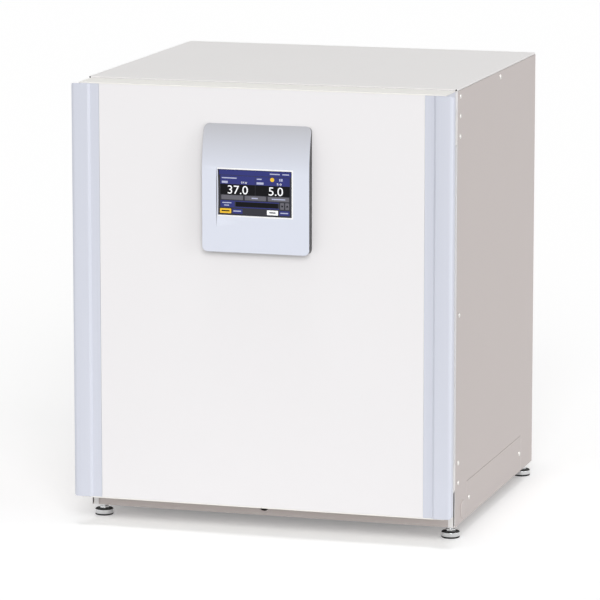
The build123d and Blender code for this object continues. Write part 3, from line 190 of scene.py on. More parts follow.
def relief(tree, height, depth):
    """A bump whose full height is a real depth."""
    bump = add_node(tree, "ShaderNodeBump", {"Height": height, "Distance": depth, "Strength": 1.0})
    return bump.outputs["Normal"]


def finish_surface(tree, **sockets):
    """The surface shader with its sockets by name, joined to the output."""
    named = {key.replace("_", " "): value for key, value in sockets.items()}
    shader = add_node(tree, "ShaderNodeBsdfPrincipled", named)
    add_node(tree, "ShaderNodeOutputMaterial", {"Surface": shader.outputs["BSDF"]})


def shade(colour, share):
    return tuple(c * share for c in colour)


# Materials

def powder_coated_steel(name, colour, roughness=0.52):
    """Baked powder on steel sheet: an even satin with a faint orange peel about 4 mm across."""
    material, tree = start_material(name)
    peel = grain(tree, 4 * MM)
    drift = grain(tree, 220 * MM)
    finish_surface(
        tree, Base_Color=tinted(tree, drift, colour, shade(colour, 0.985)),
        Roughness=between(tree, peel, roughness - 0.03, roughness + 0.03),
        Normal=relief(tree, peel, 0.02 * MM), IOR=1.5, Specular_IOR_Level=0.35,
    )
    return material


def moulded_plastic(name, colour, roughness=0.45, spark=0.04):
    """Injection-moulded ABS: a fine spark-eroded grain that breaks up the highlight."""
    material, tree = start_material(name)
    texture = grain(tree, 0.9 * MM, detail=4.0)
    finish_surface(
        tree, Base_Color=tinted(tree, grain(tree, 60 * MM), colour, shade(colour, 0.97)),
        Roughness=between(tree, texture, roughness - 0.05, roughness + 0.05),
        Normal=relief(tree, texture, spark * MM), IOR=1.53,
    )
    return material


def anodised_aluminium(name, colour):
    """Satin anodised extrusion: a soft metal sheen with faint draw lines along its length."""
    material, tree = start_material(name)
    lines = grain(tree, 1.2 * MM, stretch=(1, 1, 300), detail=3.0)
    finish_surface(
        tree, Base_Color=tinted(tree, lines, colour, shade(colour, 0.96)), Metallic=0.25,
        Roughness=between(tree, lines, 0.36, 0.46), Normal=relief(tree, lines, 0.008 * MM),
    )
    return material


def metallic_lacquer(name, colour, plain_height, top_height):
    """Silver lacquer on moulded ABS: a fine flake, with painted shade that greys it towards the
    curved top.
    """
    material, tree = start_material(name)
    flake = grain(tree, 0.5 * MM, detail=1.0)
    place = add_node(tree, "ShaderNodeTexCoord")
    axes = add_node(tree, "ShaderNodeSeparateXYZ", {"Vector": place.outputs["Object"]})
    # Painted shade: the colour ramps to the grey #B4B4B8 over the curved top, standing in for the
    # darker reflection there
    top_shade_ramp = add_node(
        tree, "ShaderNodeMapRange",
        {"Value": axes.outputs["Z"], "From Min": plain_height, "From Max": top_height},
    )
    top_shaded_colour = tinted(tree, top_shade_ramp.outputs["Result"], colour, linear("#B4B4B8"))
    sparkle = add_node(
        tree, "ShaderNodeMix", {0: flake, 6: top_shaded_colour, 7: (*shade(colour, 0.93), 1)},
        data_type="RGBA",
    )
    even = add_node(
        tree, "ShaderNodeMix", {0: 0.25, 6: top_shaded_colour, 7: sparkle.outputs[2]}, data_type="RGBA",
    )
    finish_surface(
        tree, Base_Color=even.outputs[2], Metallic=0.2, Roughness=between(tree, flake, 0.32, 0.42),
        Normal=relief(tree, flake, 0.004 * MM),
    )
    return material


def brushed_stainless(name, colour, along="X"):
    """Brushed 304 stainless sheet: long fine scratches that draw the highlight out across them."""
    material, tree = start_material(name)
    stretch = {"X": (160, 1, 1), "Y": (1, 160, 1), "Z": (1, 1, 160)}[along]
    scratches = grain(tree, 0.7 * MM, stretch=stretch, detail=6.0)
    finish_surface(
        tree, Base_Color=tinted(tree, scratches, colour, shade(colour, 0.9)), Metallic=1.0,
        Roughness=between(tree, scratches, 0.22, 0.4), Normal=relief(tree, scratches, 0.01 * MM),
    )
    return material


def plated_steel(name, colour, roughness):
    """Zinc or chromium plate on turned steel: bright, with a slight cloudiness."""
    material, tree = start_material(name)
    cloud = grain(tree, 6 * MM, detail=3.0)
    finish_surface(
        tree, Base_Color=tinted(tree, cloud, colour, shade(colour, 0.92)), Metallic=1.0,
        Roughness=between(tree, cloud, roughness * 0.8, roughness * 1.25),
    )
    return material


def soft_rubber(name, colour, roughness=0.7):
    """Moulded rubber or flexible PVC: dull, with a pitted skin."""
    material, tree = start_material(name)
    pits = grain(tree, 0.6 * MM, detail=5.0)
    finish_surface(
        tree, Base_Color=tinted(tree, pits, colour, shade(colour, 0.85)),
        Roughness=between(tree, pits, roughness - 0.08, roughness + 0.08),
        Normal=relief(tree, pits, 0.03 * MM), IOR=1.52,
    )
    return material


def silicone(name, colour):
    """Translucent silicone: milky, soft and slightly lit from within."""
    material, tree = start_material(name)
    milk = grain(tree, 12 * MM)
    finish_surface(
        tree, Base_Color=tinted(tree, milk, colour, shade(colour, 0.95)), IOR=1.41,
        Roughness=between(tree, milk, 0.38, 0.5), Subsurface_Weight=0.3, Subsurface_Scale=3 * MM,
    )
    return material


def clear_glass(name, colour, roughness=0.0):
    """Soda-lime glass: clear, with the slight green of its iron."""
    material, tree = start_material(name)
    waves = grain(tree, 180 * MM)
    finish_surface(
        tree, Base_Color=tinted(tree, waves, colour, shade(colour, 0.995)), IOR=1.52,
        Roughness=roughness, Transmission_Weight=1.0,
    )
    return material


def cast_foam(name, colour):
    """Cut polyurethane foam: pale yellow and open-celled."""
    material, tree = start_material(name)
    cells = grain(tree, 1.5 * MM, detail=6.0)
    finish_surface(
        tree, Base_Color=tinted(tree, cells, colour, shade(colour, 0.8)), Roughness=0.95,
        Normal=relief(tree, cells, 0.3 * MM),
    )
    return material


def lit_screen(name, colour, glow=0.12):
    """A field of a backlit liquid crystal display behind a film that is coated against glare."""
    material, tree = start_material(name)
    pixels = grain(tree, 0.4 * MM, detail=0.0)
    tone = tinted(tree, pixels, colour, shade(colour, 0.94))
    finish_surface(
        tree, Base_Color=tone, Roughness=0.3, IOR=1.5, Specular_IOR_Level=0.12,
        Emission_Color=tone, Emission_Strength=glow,
    )
    return material


# Shapes

def new_piece(name, shape, body, materials):
    """A finished mesh as a piece of the scene that rides on a body."""
    mesh = bpy.data.meshes.new(name)
    shape.to_mesh(mesh)
    shape.free()
    piece = bpy.data.objects.new(name, mesh)
    bpy.context.scene.collection.objects.link(piece)
    for material in materials:
        mesh.materials.append(material)
    mesh.polygons.foreach_set("use_smooth", [True] * len(mesh.polygons))
    mesh.set_sharp_from_angle(angle=EDGE_ANGLE)
    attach(piece, body)
    return piece


def merged_copy(node):
    """A CAD node's mesh with its corners joined and its flat faces whole again."""
    shape = bmesh.new()
    shape.from_mesh(frame["nodes"][node].data)
    bmesh.ops.remove_doubles(shape, verts=shape.verts, dist=MERGE_DISTANCE)
    bmesh.ops.dissolve_limit(
        shape, angle_limit=FLAT_ANGLE, use_dissolve_boundaries=False, verts=shape.verts,
        edges=shape.edges,
    )
    return shape


def rounded_node(node, width, materials, segments=3, paint=None):
    """A copy of a CAD node with its edges rounded, standing in for the node."""
    shape = merged_copy(node)
    if paint:
        paint(shape)
    piece = new_piece(node + "_rounded", shape, body_of_node(node), materials)
    rounding = piece.modifiers.new("Rounding", "BEVEL")
    rounding.width = width
    rounding.segments = segments
    rounding.limit_method = "ANGLE"
    rounding.angle_limit = EDGE_ANGLE
    rounding.harden_normals = True
    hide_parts(node)


def round_nodes(width, rows, segments=3):
    """Rounds each node of the rows, which give its name, slot and finish."""
    for node, slot, finish in rows:
        rounded_node(node, width, [MATERIALS[finish]], segments)


def paint_node(node, material):
    """Gives a CAD node that stays as it is its finish."""
    slots = frame["nodes"][node].material_slots
    if not slots:
        raise RuntimeError("node " + node + " has no material slot")
    for entry in slots:
        entry.material = material


def paint_nodes(rows):
    """Paints each node of the rows, which give its name and finish."""
    for node, finish in rows:
        paint_node(node, MATERIALS[finish])


def add_disc(shape, place, radius, depth, corners):
    """A disc or bar around the middle of its place, along Z."""
    made = bmesh.ops.create_cone(
        shape, cap_ends=True, cap_tris=False, segments=corners, radius1=radius, radius2=radius,
        depth=depth, matrix=place,
    )
    return made["verts"]


def add_tile(shape, place, left, right, low, high, thickness, corner=0.0):
    """A thin plate in a plane that faces front, between two corners, with rounded corners."""
    size = Matrix.Diagonal((right - left, thickness, high - low, 1))
    middle = Matrix.Translation(((left + right) / 2, -thickness / 2, (low + high) / 2))
    made = bmesh.ops.create_cube(shape, size=1.0, matrix=middle @ size)
    if corner:
        edges = set()
        for vert in made["verts"]:
            for edge in vert.link_edges:
                if abs(edge.verts[0].co.y - edge.verts[1].co.y) > thickness / 2:
                    edges.add(edge)
        rounded = bmesh.ops.bevel(
            shape, geom=list(edges), offset=corner, segments=4, profile=0.5, affect="EDGES",
            material=-1,
        )
        verts = set(made["verts"]) | set(rounded["verts"])
        verts = [v for v in verts if v.is_valid]
    else:
        verts = made["verts"]
    bmesh.ops.transform(shape, matrix=place, verts=verts)


def figure_mesh(figures):
    """Figures as a mesh in their own plane."""
    curve = bpy.data.curves.new("figures", "FONT")
    curve.body = figures
    curve.extrude = FIGURE_RELIEF
    holder = bpy.data.objects.new("figures", curve)
    bpy.context.scene.collection.objects.link(holder)
    depsgraph = bpy.context.evaluated_depsgraph_get()
    mesh = bpy.data.meshes.new_from_object(holder.evaluated_get(depsgraph))
    bpy.data.objects.remove(holder)
    bpy.data.curves.remove(curve)
    return mesh


def add_figures(shape, place, figures, left, right, low, high, thickness):
    """Figures drawn out to fill a rectangle of a plane that faces front."""
    mesh = figure_mesh(figures)
    before = set(shape.verts)
    shape.from_mesh(mesh)
    bpy.data.meshes.remove(mesh)
    verts = [v for v in shape.verts if v not in before]
    bmesh.ops.remove_doubles(shape, verts=verts, dist=FIGURE_RELIEF / 100)
    verts = [v for v in shape.verts if v not in before]
    least = [min(v.co[i] for v in verts) for i in range(3)]
    span = [max(v.co[i] for v in verts) - least[i] for i in range(3)]
    grow = Matrix.Diagonal(
        ((right - left) / span[0], (high - low) / span[1], thickness / span[2], 1),
    )
    settle = Matrix.Translation((-least[0], -least[1], -least[2]))
    corner = Matrix.Translation((left, 0, low))
    bmesh.ops.transform(shape, matrix=place @ corner @ FACING_FRONT @ grow @ settle, verts=verts)


def add_screw_head(shape, place, radius, height):
    """A pan head with a cross recess, standing along Z of its place."""
    verts = set(add_disc(shape, Matrix.Translation((0, 0, height / 2)), radius, height, 24))
    rim = [
        edge for edge in shape.edges
        if edge.verts[0] in verts and min(v.co.z for v in edge.verts) > height * HEAD_RIM
    ]
    rounded = bmesh.ops.bevel(
        shape, geom=rim, offset=height * HEAD_ROUNDING, segments=3, profile=0.5,
        affect="EDGES", material=-1,
    )
    verts = {v for v in verts | set(rounded["verts"]) if v.is_valid}
    half_slot = radius * RECESS_HALF_WIDTH
    reach = radius * RECESS_REACH
    for axis in (Vector((1, 0, 0)), Vector((0, 1, 0))):
        for distance in (-reach, -half_slot, half_slot, reach):
            top = [f for f in shape.faces if verts.issuperset(f.verts) and f.normal.z > LEVEL]
            around = {e for f in top for e in f.edges} | {v for f in top for v in f.verts}
            cut = bmesh.ops.bisect_plane(
                shape, geom=list(around | set(top)), plane_co=axis * distance, plane_no=axis,
            )
            verts |= {g for g in cut["geom"] if isinstance(g, bmesh.types.BMVert)}
    recess = []
    for face in shape.faces:
        if verts.issuperset(face.verts) and face.normal.z > LEVEL:
            x, y, _ = face.calc_center_median()
            far, near = max(abs(x), abs(y)), min(abs(x), abs(y))
            if near < half_slot and far < reach:
                recess.append(face)
    sunk = bmesh.ops.extrude_face_region(shape, geom=recess)
    floor = [g for g in sunk["geom"] if isinstance(g, bmesh.types.BMVert)]
    bmesh.ops.delete(shape, geom=recess, context="FACES_KEEP_BOUNDARY")
    bmesh.ops.translate(shape, vec=(0, 0, -height * RECESS_DEPTH), verts=floor)
    moved = [v for v in verts | set(floor) if v.is_valid]
    bmesh.ops.transform(shape, matrix=place, verts=moved)


# Finishes of this object

def default_colour(name, description, code):
    return FloatVectorProperty(
        name=name, description=description, subtype="COLOR", size=3, min=0, max=1,
        default=linear(code),
    )


def default_length(name, description, default, least=0):
    return FloatProperty(
        name=name, description=description, default=default, min=least, unit="LENGTH",
        subtype="DISTANCE",
    )


def default_angle(name, description, degrees):
    return FloatProperty(
        name=name, description=description, default=math.radians(degrees), subtype="ANGLE",
        unit="ROTATION",
    )


def default_level(name, description, default):
    return FloatProperty(name=name, description=description, default=default, min=0)


class IncubatorColours(bpy.types.PropertyGroup):
    """The colours that a user would change."""
    door: default_colour("Door", "Powder coat of the door panel", "#F0EEEF")
    cabinet: default_colour("Cabinet", "Powder coat of the front frame, top and hinges", "#EFEDEC")
    sides: default_colour("Sides", "Powder coat of the side panels and base", "#CBC2BF")
    strips: default_colour("Strips", "Anodised edge strips of the door", "#D6D9E4")
    housing: default_colour("Housing", "Silver housing around the display", "#DFE3EF")
    caps: default_colour("Caps", "Plastic trim at the top and bottom of the door", "#F7F5F0")
    steel: default_colour("Steel", "Stainless chamber, shelves and racks", "#C9C8C5")
    gasket: default_colour("Gasket", "Magnetic door gasket", "#B9BABC")
    screen_blue: default_colour("Screen blue", "Header and buttons of the display", "#363A78")
    screen_dark: default_colour("Screen dark", "Fields behind the figures", "#101014")
    screen_grey: default_colour("Screen grey", "Ground of the display", "#38383E")
    screen_yellow: default_colour("Screen yellow", "Marked button and status dot", "#F0C23C")


class IncubatorSizes(bpy.types.PropertyGroup):
    """The sizes of the fine parts that a user would change."""
    sheet_edge: default_length("Sheet edge", "Rounding of the sheet metal's edges", 0.5 * MM)
    strip_edge: default_length("Strip edge", "Rounding of the door strips' edges", 0.8 * MM)
    housing_edge: default_length(
        "Housing edge", "Rounding of the display housing's edges", 0.9 * MM,
    )
    screw_radius: default_length(
        "Screw head", "Radius of the panels' screw heads", 4.8 * MM, least=1 * MM,
    )


class IncubatorStage(bpy.types.PropertyGroup):
    """The camera and the light."""
    azimuth: default_angle("Azimuth", "Camera's turn round the cabinet from straight ahead", 16.49)
    elevation: default_angle("Elevation", "Camera's height angle", 9.975)
    distance: default_length(
        "Distance", "From the camera to the point it looks at", 8.6765, least=1,
    )
    target: FloatVectorProperty(
        name="Target", description="The point that the camera looks at", size=3,
        default=(-0.0374, 0.0365, 0.4103), subtype="TRANSLATION", unit="LENGTH",
    )
    lens: FloatProperty(
        name="Lens", description="Focal length on the 36 mm wide sensor, in millimetres",
        default=250.4, min=20,
    )
    ambient: default_level("Ambient", "Level of the light from all around", 0.5)
    key: default_level("Key", "Level of the soft light from the front", 1.36)
    side: default_level("Side", "Level of the light from the right", 0.5)
    overhead: default_level("Overhead", "Level of the light from above", 0.7)


MATERIALS = {}


def make_materials(colours):
    """Every finish of the object, by its use."""
    housing_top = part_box("display_bezel")[1].z
    MATERIALS.update({
        "door": powder_coated_steel("powder_coated_steel_door", tuple(colours.door)),
        "cabinet": powder_coated_steel("powder_coated_steel_white", tuple(colours.cabinet)),
        "sides": powder_coated_steel("powder_coated_steel_beige", tuple(colours.sides), 0.5),
        "strips": anodised_aluminium("anodised_aluminium_strip", tuple(colours.strips)),
        # The housing's lacquer carries painted shade that greys it over its curved top
        "housing": metallic_lacquer(
            "silver_lacquer_with_painted_top_shade", tuple(colours.housing), housing_top - HOUSING_CURVE,
            housing_top,
        ),
        "caps": moulded_plastic("cream_abs", tuple(colours.caps)),
        "liner": moulded_plastic("white_polystyrene_liner", linear("#E9E8E4"), 0.35, 0.02),
        "black": moulded_plastic("black_abs", linear("#1B1B1D"), 0.4),
        "grey": moulded_plastic("grey_abs", linear("#8C8F93"), 0.45),
        "plug": moulded_plastic("beige_polyethylene_plug", tuple(colours.sides), 0.5, 0.01),
        "steel_across": brushed_stainless("brushed_stainless_across", tuple(colours.steel), "X"),
        "steel_upright": brushed_stainless("brushed_stainless_upright", tuple(colours.steel), "Z"),
        "steel_deep": brushed_stainless("brushed_stainless_deep", tuple(colours.steel), "Y"),
        "zinc": plated_steel("zinc_plated_steel", linear("#BFC2C4"), 0.3),
        "chrome": plated_steel("chromium_plated_steel", linear("#D9DADB"), 0.12),
        "screw": plated_steel("nickel_plated_screw", linear("#EDEBE8"), 0.3),
        "brass": plated_steel("machined_brass", linear("#C9A45A"), 0.22),
        "gasket": soft_rubber("flexible_pvc_gasket", tuple(colours.gasket), 0.55),
        "rubber": soft_rubber("black_rubber", linear("#1A1A1B"), 0.75),
        "silicone": silicone("translucent_silicone", linear("#E2E1DA")),
        "glass": clear_glass("soda_lime_glass", linear("#F4FBF8")),
        "lamp": clear_glass("quartz_lamp_glass", linear("#F2F3FA"), 0.05),
        "foam": cast_foam("polyurethane_foam", linear("#E8D9A8")),
        "board": moulded_plastic("green_circuit_board", linear("#1F5A3A"), 0.3, 0.01),
        "cover": moulded_plastic("display_cover_film", linear("#15161A"), 0.18, 0.002),
        "screen_blue": lit_screen("lcd_blue_field", tuple(colours.screen_blue)),
        "screen_dark": lit_screen("lcd_dark_field", tuple(colours.screen_dark)),
        "screen_grey": lit_screen("lcd_grey_field", tuple(colours.screen_grey)),
        "screen_yellow": lit_screen("lcd_yellow_field", tuple(colours.screen_yellow)),
        "screen_pale": lit_screen("lcd_pale_field", linear("#B4B8D2")),
        "screen_bar": lit_screen("lcd_grey_bar", linear("#68676F")),
        "screen_white": lit_screen("lcd_white_field", linear("#F4F5F8"), 0.25),
        # Painted highlight: pure white for the light caught by the bevel round the display window
        "rim": moulded_plastic("painted_highlight_white", linear("#FFFFFF"), 0.3, 0.002),
        # Painted shade for the wall at the left of the display's dish
        "dish_wall_shade": moulded_plastic("painted_shade_dish_wall", linear("#5C5D63"), 0.5, 0.002),
    })


class INCUBATOR_OT_materials(bpy.types.Operator):
    """Make every material of the object"""
    bl_idname = "incubator.materials"
    bl_label = "Materials"

    def execute(self, context):
        make_materials(context.scene.incubator_colours)
        return {"FINISHED"}


def whiten_front(shape):
    """Marks the return flange that faces the front, which is white, for the second material."""
    for face in shape.faces:
        if face.normal.y < -ALONG_AXIS:
            face.material_index = 1


class INCUBATOR_OT_cabinet(bpy.types.Operator):
    """Finish the cabinet's sheet metal"""
    bl_idname = "incubator.cabinet"
    bl_label = "Cabinet"

    def execute(self, context):
        edge = context.scene.incubator_sizes.sheet_edge
        two_coats = [MATERIALS["sides"], MATERIALS["cabinet"]]
        for side in ("left", "right"):
            rounded_node("side_panel_" + side, edge, two_coats, paint=whiten_front)
        round_nodes(edge, (
            ("access_covers", "beige_paint", "sides"),
            ("base_pan", "beige_paint", "sides"),
            ("front_frame", "white_paint", "cabinet"),
            ("top_panel", "top_paint", "cabinet"),
            ("back_panel", "beige_paint", "sides"),
            ("side_plugs", "grey_plastic", "plug"),
            ("rear_spacers", "black_plastic", "black"),
        ))
        paint_node("insulation", MATERIALS["foam"])
        # Painted shade: black discs at the top panel's front corners stand in for the dark of the
        # corner gaps
        low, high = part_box("top_panel")
        shape = bmesh.new()
        for x in (low.x + RELIEF_INSET, high.x - RELIEF_INSET):
            place = Matrix.Translation((x, low.y + RELIEF_RADIUS / 3, high.z - RELIEF_DROP))
            add_disc(shape, place @ FACING_FRONT, RELIEF_RADIUS, RELIEF_RADIUS, 16)
        new_piece("corner_gap_shade_discs", shape, "cabinet", [MATERIALS["black"]])
        return {"FINISHED"}


class INCUBATOR_OT_door(bpy.types.Operator):
    """Finish the outer door, its strips, caps, liner and hinges"""
    bl_idname = "incubator.door"
    bl_label = "Outer door"

    def execute(self, context):
        sizes = context.scene.incubator_sizes
        for node, width, slot, finish in (
            ("door_skin", sizes.sheet_edge, "door_paint", "door"),
            ("grip_strip_left", sizes.strip_edge, "strip_aluminium", "strips"),
            ("grip_strip_right", sizes.strip_edge, "strip_aluminium", "strips"),
            ("door_cap_top", sizes.strip_edge, "cream_plastic", "caps"),
            ("door_cap_bottom", sizes.strip_edge, "cream_plastic", "caps"),
            ("door_liner", sizes.sheet_edge, "liner_plastic", "liner"),
            ("door_gasket", sizes.strip_edge, "gasket_grey", "gasket"),
            ("door_knuckles", sizes.sheet_edge, "zinc_steel", "cabinet"),
            ("hinge_brackets", sizes.sheet_edge, "zinc_steel", "cabinet"),
        ):
            rounded_node(node, width, [MATERIALS[finish]])
        paint_node("door_foam", MATERIALS["foam"])
        return {"FINISHED"}


def paint_housing_shade(shape):
    """Marks the housing's outer walls for black painted shade and the wall at the left of its dish
    for dark grey painted shade.
    """
    low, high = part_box("display_bezel")
    centre = (low + high) / 2
    for face in shape.faces:
        middle = face.calc_center_median()
        near = min(middle.x - low.x, high.x - middle.x, middle.z - low.z, high.z - middle.z)
        across = abs(face.normal.y) < ACROSS_AXIS and face.normal.z < ALONG_AXIS
        # Painted shade: the outward walls and underside, which lie in shadow, take black plastic
        if across and near < HOUSING_WALL:
            outward = Vector((middle.x - centre.x, 0, middle.z - centre.z))
            if face.normal.dot(outward) > 0:
                face.material_index = 1
        # Painted shade: the wall at the left of the dish takes a dark grey
        elif face.normal.x > ALONG_AXIS:
            face.material_index = 2


class INCUBATOR_OT_housing(bpy.types.Operator):
    """Finish the display's housing, module and board"""
    bl_idname = "incubator.housing"
    bl_label = "Display housing"

    def execute(self, context):
        sizes = context.scene.incubator_sizes
        # The housing's outer walls and dish wall carry painted shade
        rounded_node(
            "display_bezel", sizes.housing_edge,
            [MATERIALS["housing"], MATERIALS["black"], MATERIALS["dish_wall_shade"]], paint=paint_housing_shade,
        )
        rounded_node("display_module", sizes.sheet_edge, [MATERIALS["cover"]])
        paint_node("display_board", MATERIALS["board"])
        return {"FINISHED"}


# The display's picture. Places are in mm, right and down from the screen's upper left corner

def screen_place():
    """The tilted plane of the display's face, with its origin at the upper left corner."""
    low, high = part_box("display_module")
    size = high - low
    tilt = math.asin((size.y - SCREEN_DEPTH) / SCREEN_WIDTH)
    middle = Matrix.Translation((low + high) / 2)
    corner = Matrix.Translation((-SCREEN_WIDTH / 2, -SCREEN_DEPTH / 2, SCREEN_HEIGHT / 2))
    return middle @ Matrix.Rotation(-tilt, 4, "Z") @ corner


def screen_piece(name, shape, material):
    """A finished part of the picture, as a piece that rides with the display."""
    new_piece(name, shape, body_of_node("display_module"), [material])


def screen_fields(name, rows, material, lift, corner=0.0):
    """One piece of the picture: tiles of one colour, each with its left, right, top and bottom."""
    shape = bmesh.new()
    place = screen_place() @ Matrix.Translation((0, -lift, 0))
    for left, right, top, bottom in rows:
        add_tile(
            shape, place, left * MM, right * MM, -bottom * MM, -top * MM, TILE_THICKNESS,
            corner * MM,
        )
    screen_piece(name, shape, material)


def add_rim(shape, left, right, low, high, lift_left, lift_right):
    """A length of the window's rim, a painted highlight in white, whose face follows the dish from
    end to end.
    """
    before = set(shape.verts)
    add_tile(shape, Matrix.Identity(4), left, right, low, high, RIM_THICKNESS)
    verts = [v for v in shape.verts if v not in before]
    middle = (left + right) / 2
    for vert in verts:
        lift = lift_left if vert.co.x < middle else lift_right
        vert.co.y += RIM_THICKNESS - SCREEN_SINK - lift
    bmesh.ops.transform(shape, matrix=screen_place(), verts=verts)


def screen_figures(name, rows, material):
    """One piece of the picture: figures, each with its left, right, top and bottom."""
    shape = bmesh.new()
    place = screen_place() @ Matrix.Translation((0, -MARK_LIFT, 0))
    for figures, left, right, top, bottom in rows:
        add_figures(
            shape, place, figures, left * MM, right * MM, -bottom * MM, -top * MM,
            TILE_THICKNESS,
        )
    screen_piece(name, shape, material)


def screen_discs(name, rows, material):
    """One piece of the picture: discs or triangles, by place, radius, corners and turn."""
    shape = bmesh.new()
    for x, down, radius, corners, turn in rows:
        middle = Matrix.Translation((x * MM, -MARK_LIFT - TILE_THICKNESS / 2, -down * MM))
        turned = Matrix.Rotation(math.radians(turn), 4, "Y") @ FACING_FRONT
        add_disc(shape, screen_place() @ middle @ turned, radius * MM, TILE_THICKNESS, corners)
    screen_piece(name, shape, material)


class INCUBATOR_OT_screen(bpy.types.Operator):
    """Draw the display's fields, buttons and figures"""
    bl_idname = "incubator.screen"
    bl_label = "Screen"

    def execute(self, context):
        wide = SCREEN_WIDTH / MM
        tall = SCREEN_HEIGHT / MM
        edge = SCREEN_MARGIN
        screen_fields(
            "screen_ground", [(edge, wide - edge, edge, tall - edge)],
            MATERIALS["screen_grey"], GROUND_LIFT,
        )
        screen_fields(
            "screen_headers",
            [(edge, wide - edge, edge, 11.6), (4, 76.2, 12.6, 29.6), (77, 148.4, 12.6, 29.6),
             (4, 33.6, 62.4, 76), (33.6, 126.5, 62.4, 64.2), (33.6, 126.5, 74.4, 76.2),
             (29, 50, 78.6, 88), (126.5, 148, 78.6, 88)],
            MATERIALS["screen_blue"], FIELD_LIFT,
        )
        screen_fields(
            "screen_readings", [(4, 76.2, 30, 50.4), (77, 148.4, 30, 50.4), (36, 124, 64.6, 74)],
            MATERIALS["screen_dark"], FIELD_LIFT,
        )
        screen_fields(
            "screen_bars",
            [(6, 51, 51.6, 60.4), (55, 99, 51.6, 60.4), (103, 147, 51.6, 60.4),
             (128.5, 136.5, 62.8, 76), (139, 147, 62.8, 76)],
            MATERIALS["screen_bar"], FIELD_LIFT, corner=1.2,
        )
        screen_fields(
            "screen_mode_button", [(3, 26.5, 78.6, 88)], MATERIALS["screen_yellow"],
            FIELD_LIFT, corner=1.2,
        )
        screen_fields(
            "screen_white_button", [(101, 124, 78.6, 88)], MATERIALS["screen_white"],
            FIELD_LIFT, corner=0.6,
        )
        screen_fields(
            "screen_pale_marks",
            [(7, 19.5, 23.6, 28), (79.6, 94, 23.6, 28), (107, 128, 5.2, 7.4), (133, 147, 5.2, 7.4),
             (7, 38, 16.4, 18.6), (80, 90, 16.4, 18.6), (126.5, 129, 15, 20), (130, 133.5, 15, 20),
             (69, 82, 55, 57.2), (111, 139, 55, 57.2), (8, 27, 66, 68), (12, 22, 71, 73),
             (31, 47, 82, 84.2), (129, 145, 82, 84.2)],
            MATERIALS["screen_pale"], MARK_LIFT, corner=0.4,
        )
        screen_fields(
            "screen_dark_marks", [(6.5, 23, 82, 84.4), (106, 119, 82, 84.4)],
            MATERIALS["screen_dark"], MARK_LIFT,
        )
        screen_figures(
            "screen_figures",
            [("37.0", 19.4, 61.4, 32.3, 48.9), ("5.0", 104.6, 134.4, 32.3, 48.9),
             ("37.0", 47, 59.5, 24, 27.6), ("5.0", 121.5, 131.5, 24, 27.6)],
            MATERIALS["screen_white"],
        )
        screen_discs("screen_status_dot", [(112, 17.6, 4.2, 32, 0)], MATERIALS["screen_yellow"])
        screen_discs(
            "screen_arrows", [(132.5, 69.4, 3, 3, 180), (143, 69.4, 3, 3, 0)],
            MATERIALS["screen_dark"],
        )
        # Painted highlight: a white rim round the window stands in for light caught by its bevel
        rim = bmesh.new()
        for row in (
            (-1, 24, -3, -0.2, 4, 4), (24, wide + 3, -3, -0.2, 4, 0.15),
            (-1, 84, tall + 0.2, tall + 2.6, 2.1, 2.1),
            (84, wide + 3, tall + 0.2, tall + 2.6, 2.1, 0.15),
            (wide + 0.2, wide + 3, -0.2, tall + 0.2, 0.2, 0.1),
        ):
            left, right, top, bottom, lift_left, lift_right = (value * MM for value in row)
            add_rim(rim, left, right, -bottom, -top, lift_left, lift_right)
        body = body_of_node("display_module")
        new_piece("screen_rim_highlight", rim, body, [MATERIALS["rim"]])
        return {"FINISHED"}


class INCUBATOR_OT_chamber(bpy.types.Operator):
    """Finish the chamber, its shelves, pan and air duct"""
    bl_idname = "incubator.chamber"
    bl_label = "Chamber"

    def execute(self, context):
        round_nodes(context.scene.incubator_sizes.sheet_edge / 2, (
            ("shelf_rack_left", "stainless", "steel_deep"),
            ("shelf_rack_right", "stainless", "steel_deep"),
            ("shelf_1", "stainless", "steel_across"),
            ("shelf_2", "stainless", "steel_across"),
            ("shelf_3", "stainless", "steel_across"),
            ("duct_cover", "stainless", "steel_upright"),
        ), segments=2)
        paint_nodes((
            ("chamber_liner", "steel_upright"), ("humidity_pan", "steel_across"),
            ("fan_wheel", "grey"), ("fan_motor", "zinc"), ("co2_sensor", "grey"),
            ("temperature_sensor", "steel_deep"), ("uv_lamp", "lamp"),
        ))
        return {"FINISHED"}


class INCUBATOR_OT_glass_door(bpy.types.Operator):
    """Finish the inner glass door and its seal"""
    bl_idname = "incubator.glass_door"
    bl_label = "Glass door"

    def execute(self, context):
        round_nodes(context.scene.incubator_sizes.sheet_edge, (
            ("glass_pane", "clear_glass", "glass"),
            ("glass_gasket", "silicone", "silicone"),
            ("glass_knob", "black_plastic", "black"),
            ("glass_clamps", "stainless", "steel_upright"),
            ("glass_brackets", "stainless", "steel_upright"),
        ))
        return {"FINISHED"}


class INCUBATOR_OT_services(bpy.types.Operator):
    """Finish the port, gas and mains fittings and what stands in the base"""
    bl_idname = "incubator.services"
    bl_label = "Services"

    def execute(self, context):
        round_nodes(context.scene.incubator_sizes.sheet_edge, (
            ("port_stopper", "silicone", "silicone"),
            ("power_inlet", "black_plastic", "black"),
            ("switch_frame", "black_plastic", "black"),
            ("switch_rocker", "black_plastic", "black"),
        ))
        paint_nodes((
            ("access_port", "grey"), ("gas_inlet", "brass"), ("gas_valve", "black"),
            ("control_unit", "zinc"),
        ))
        return {"FINISHED"}


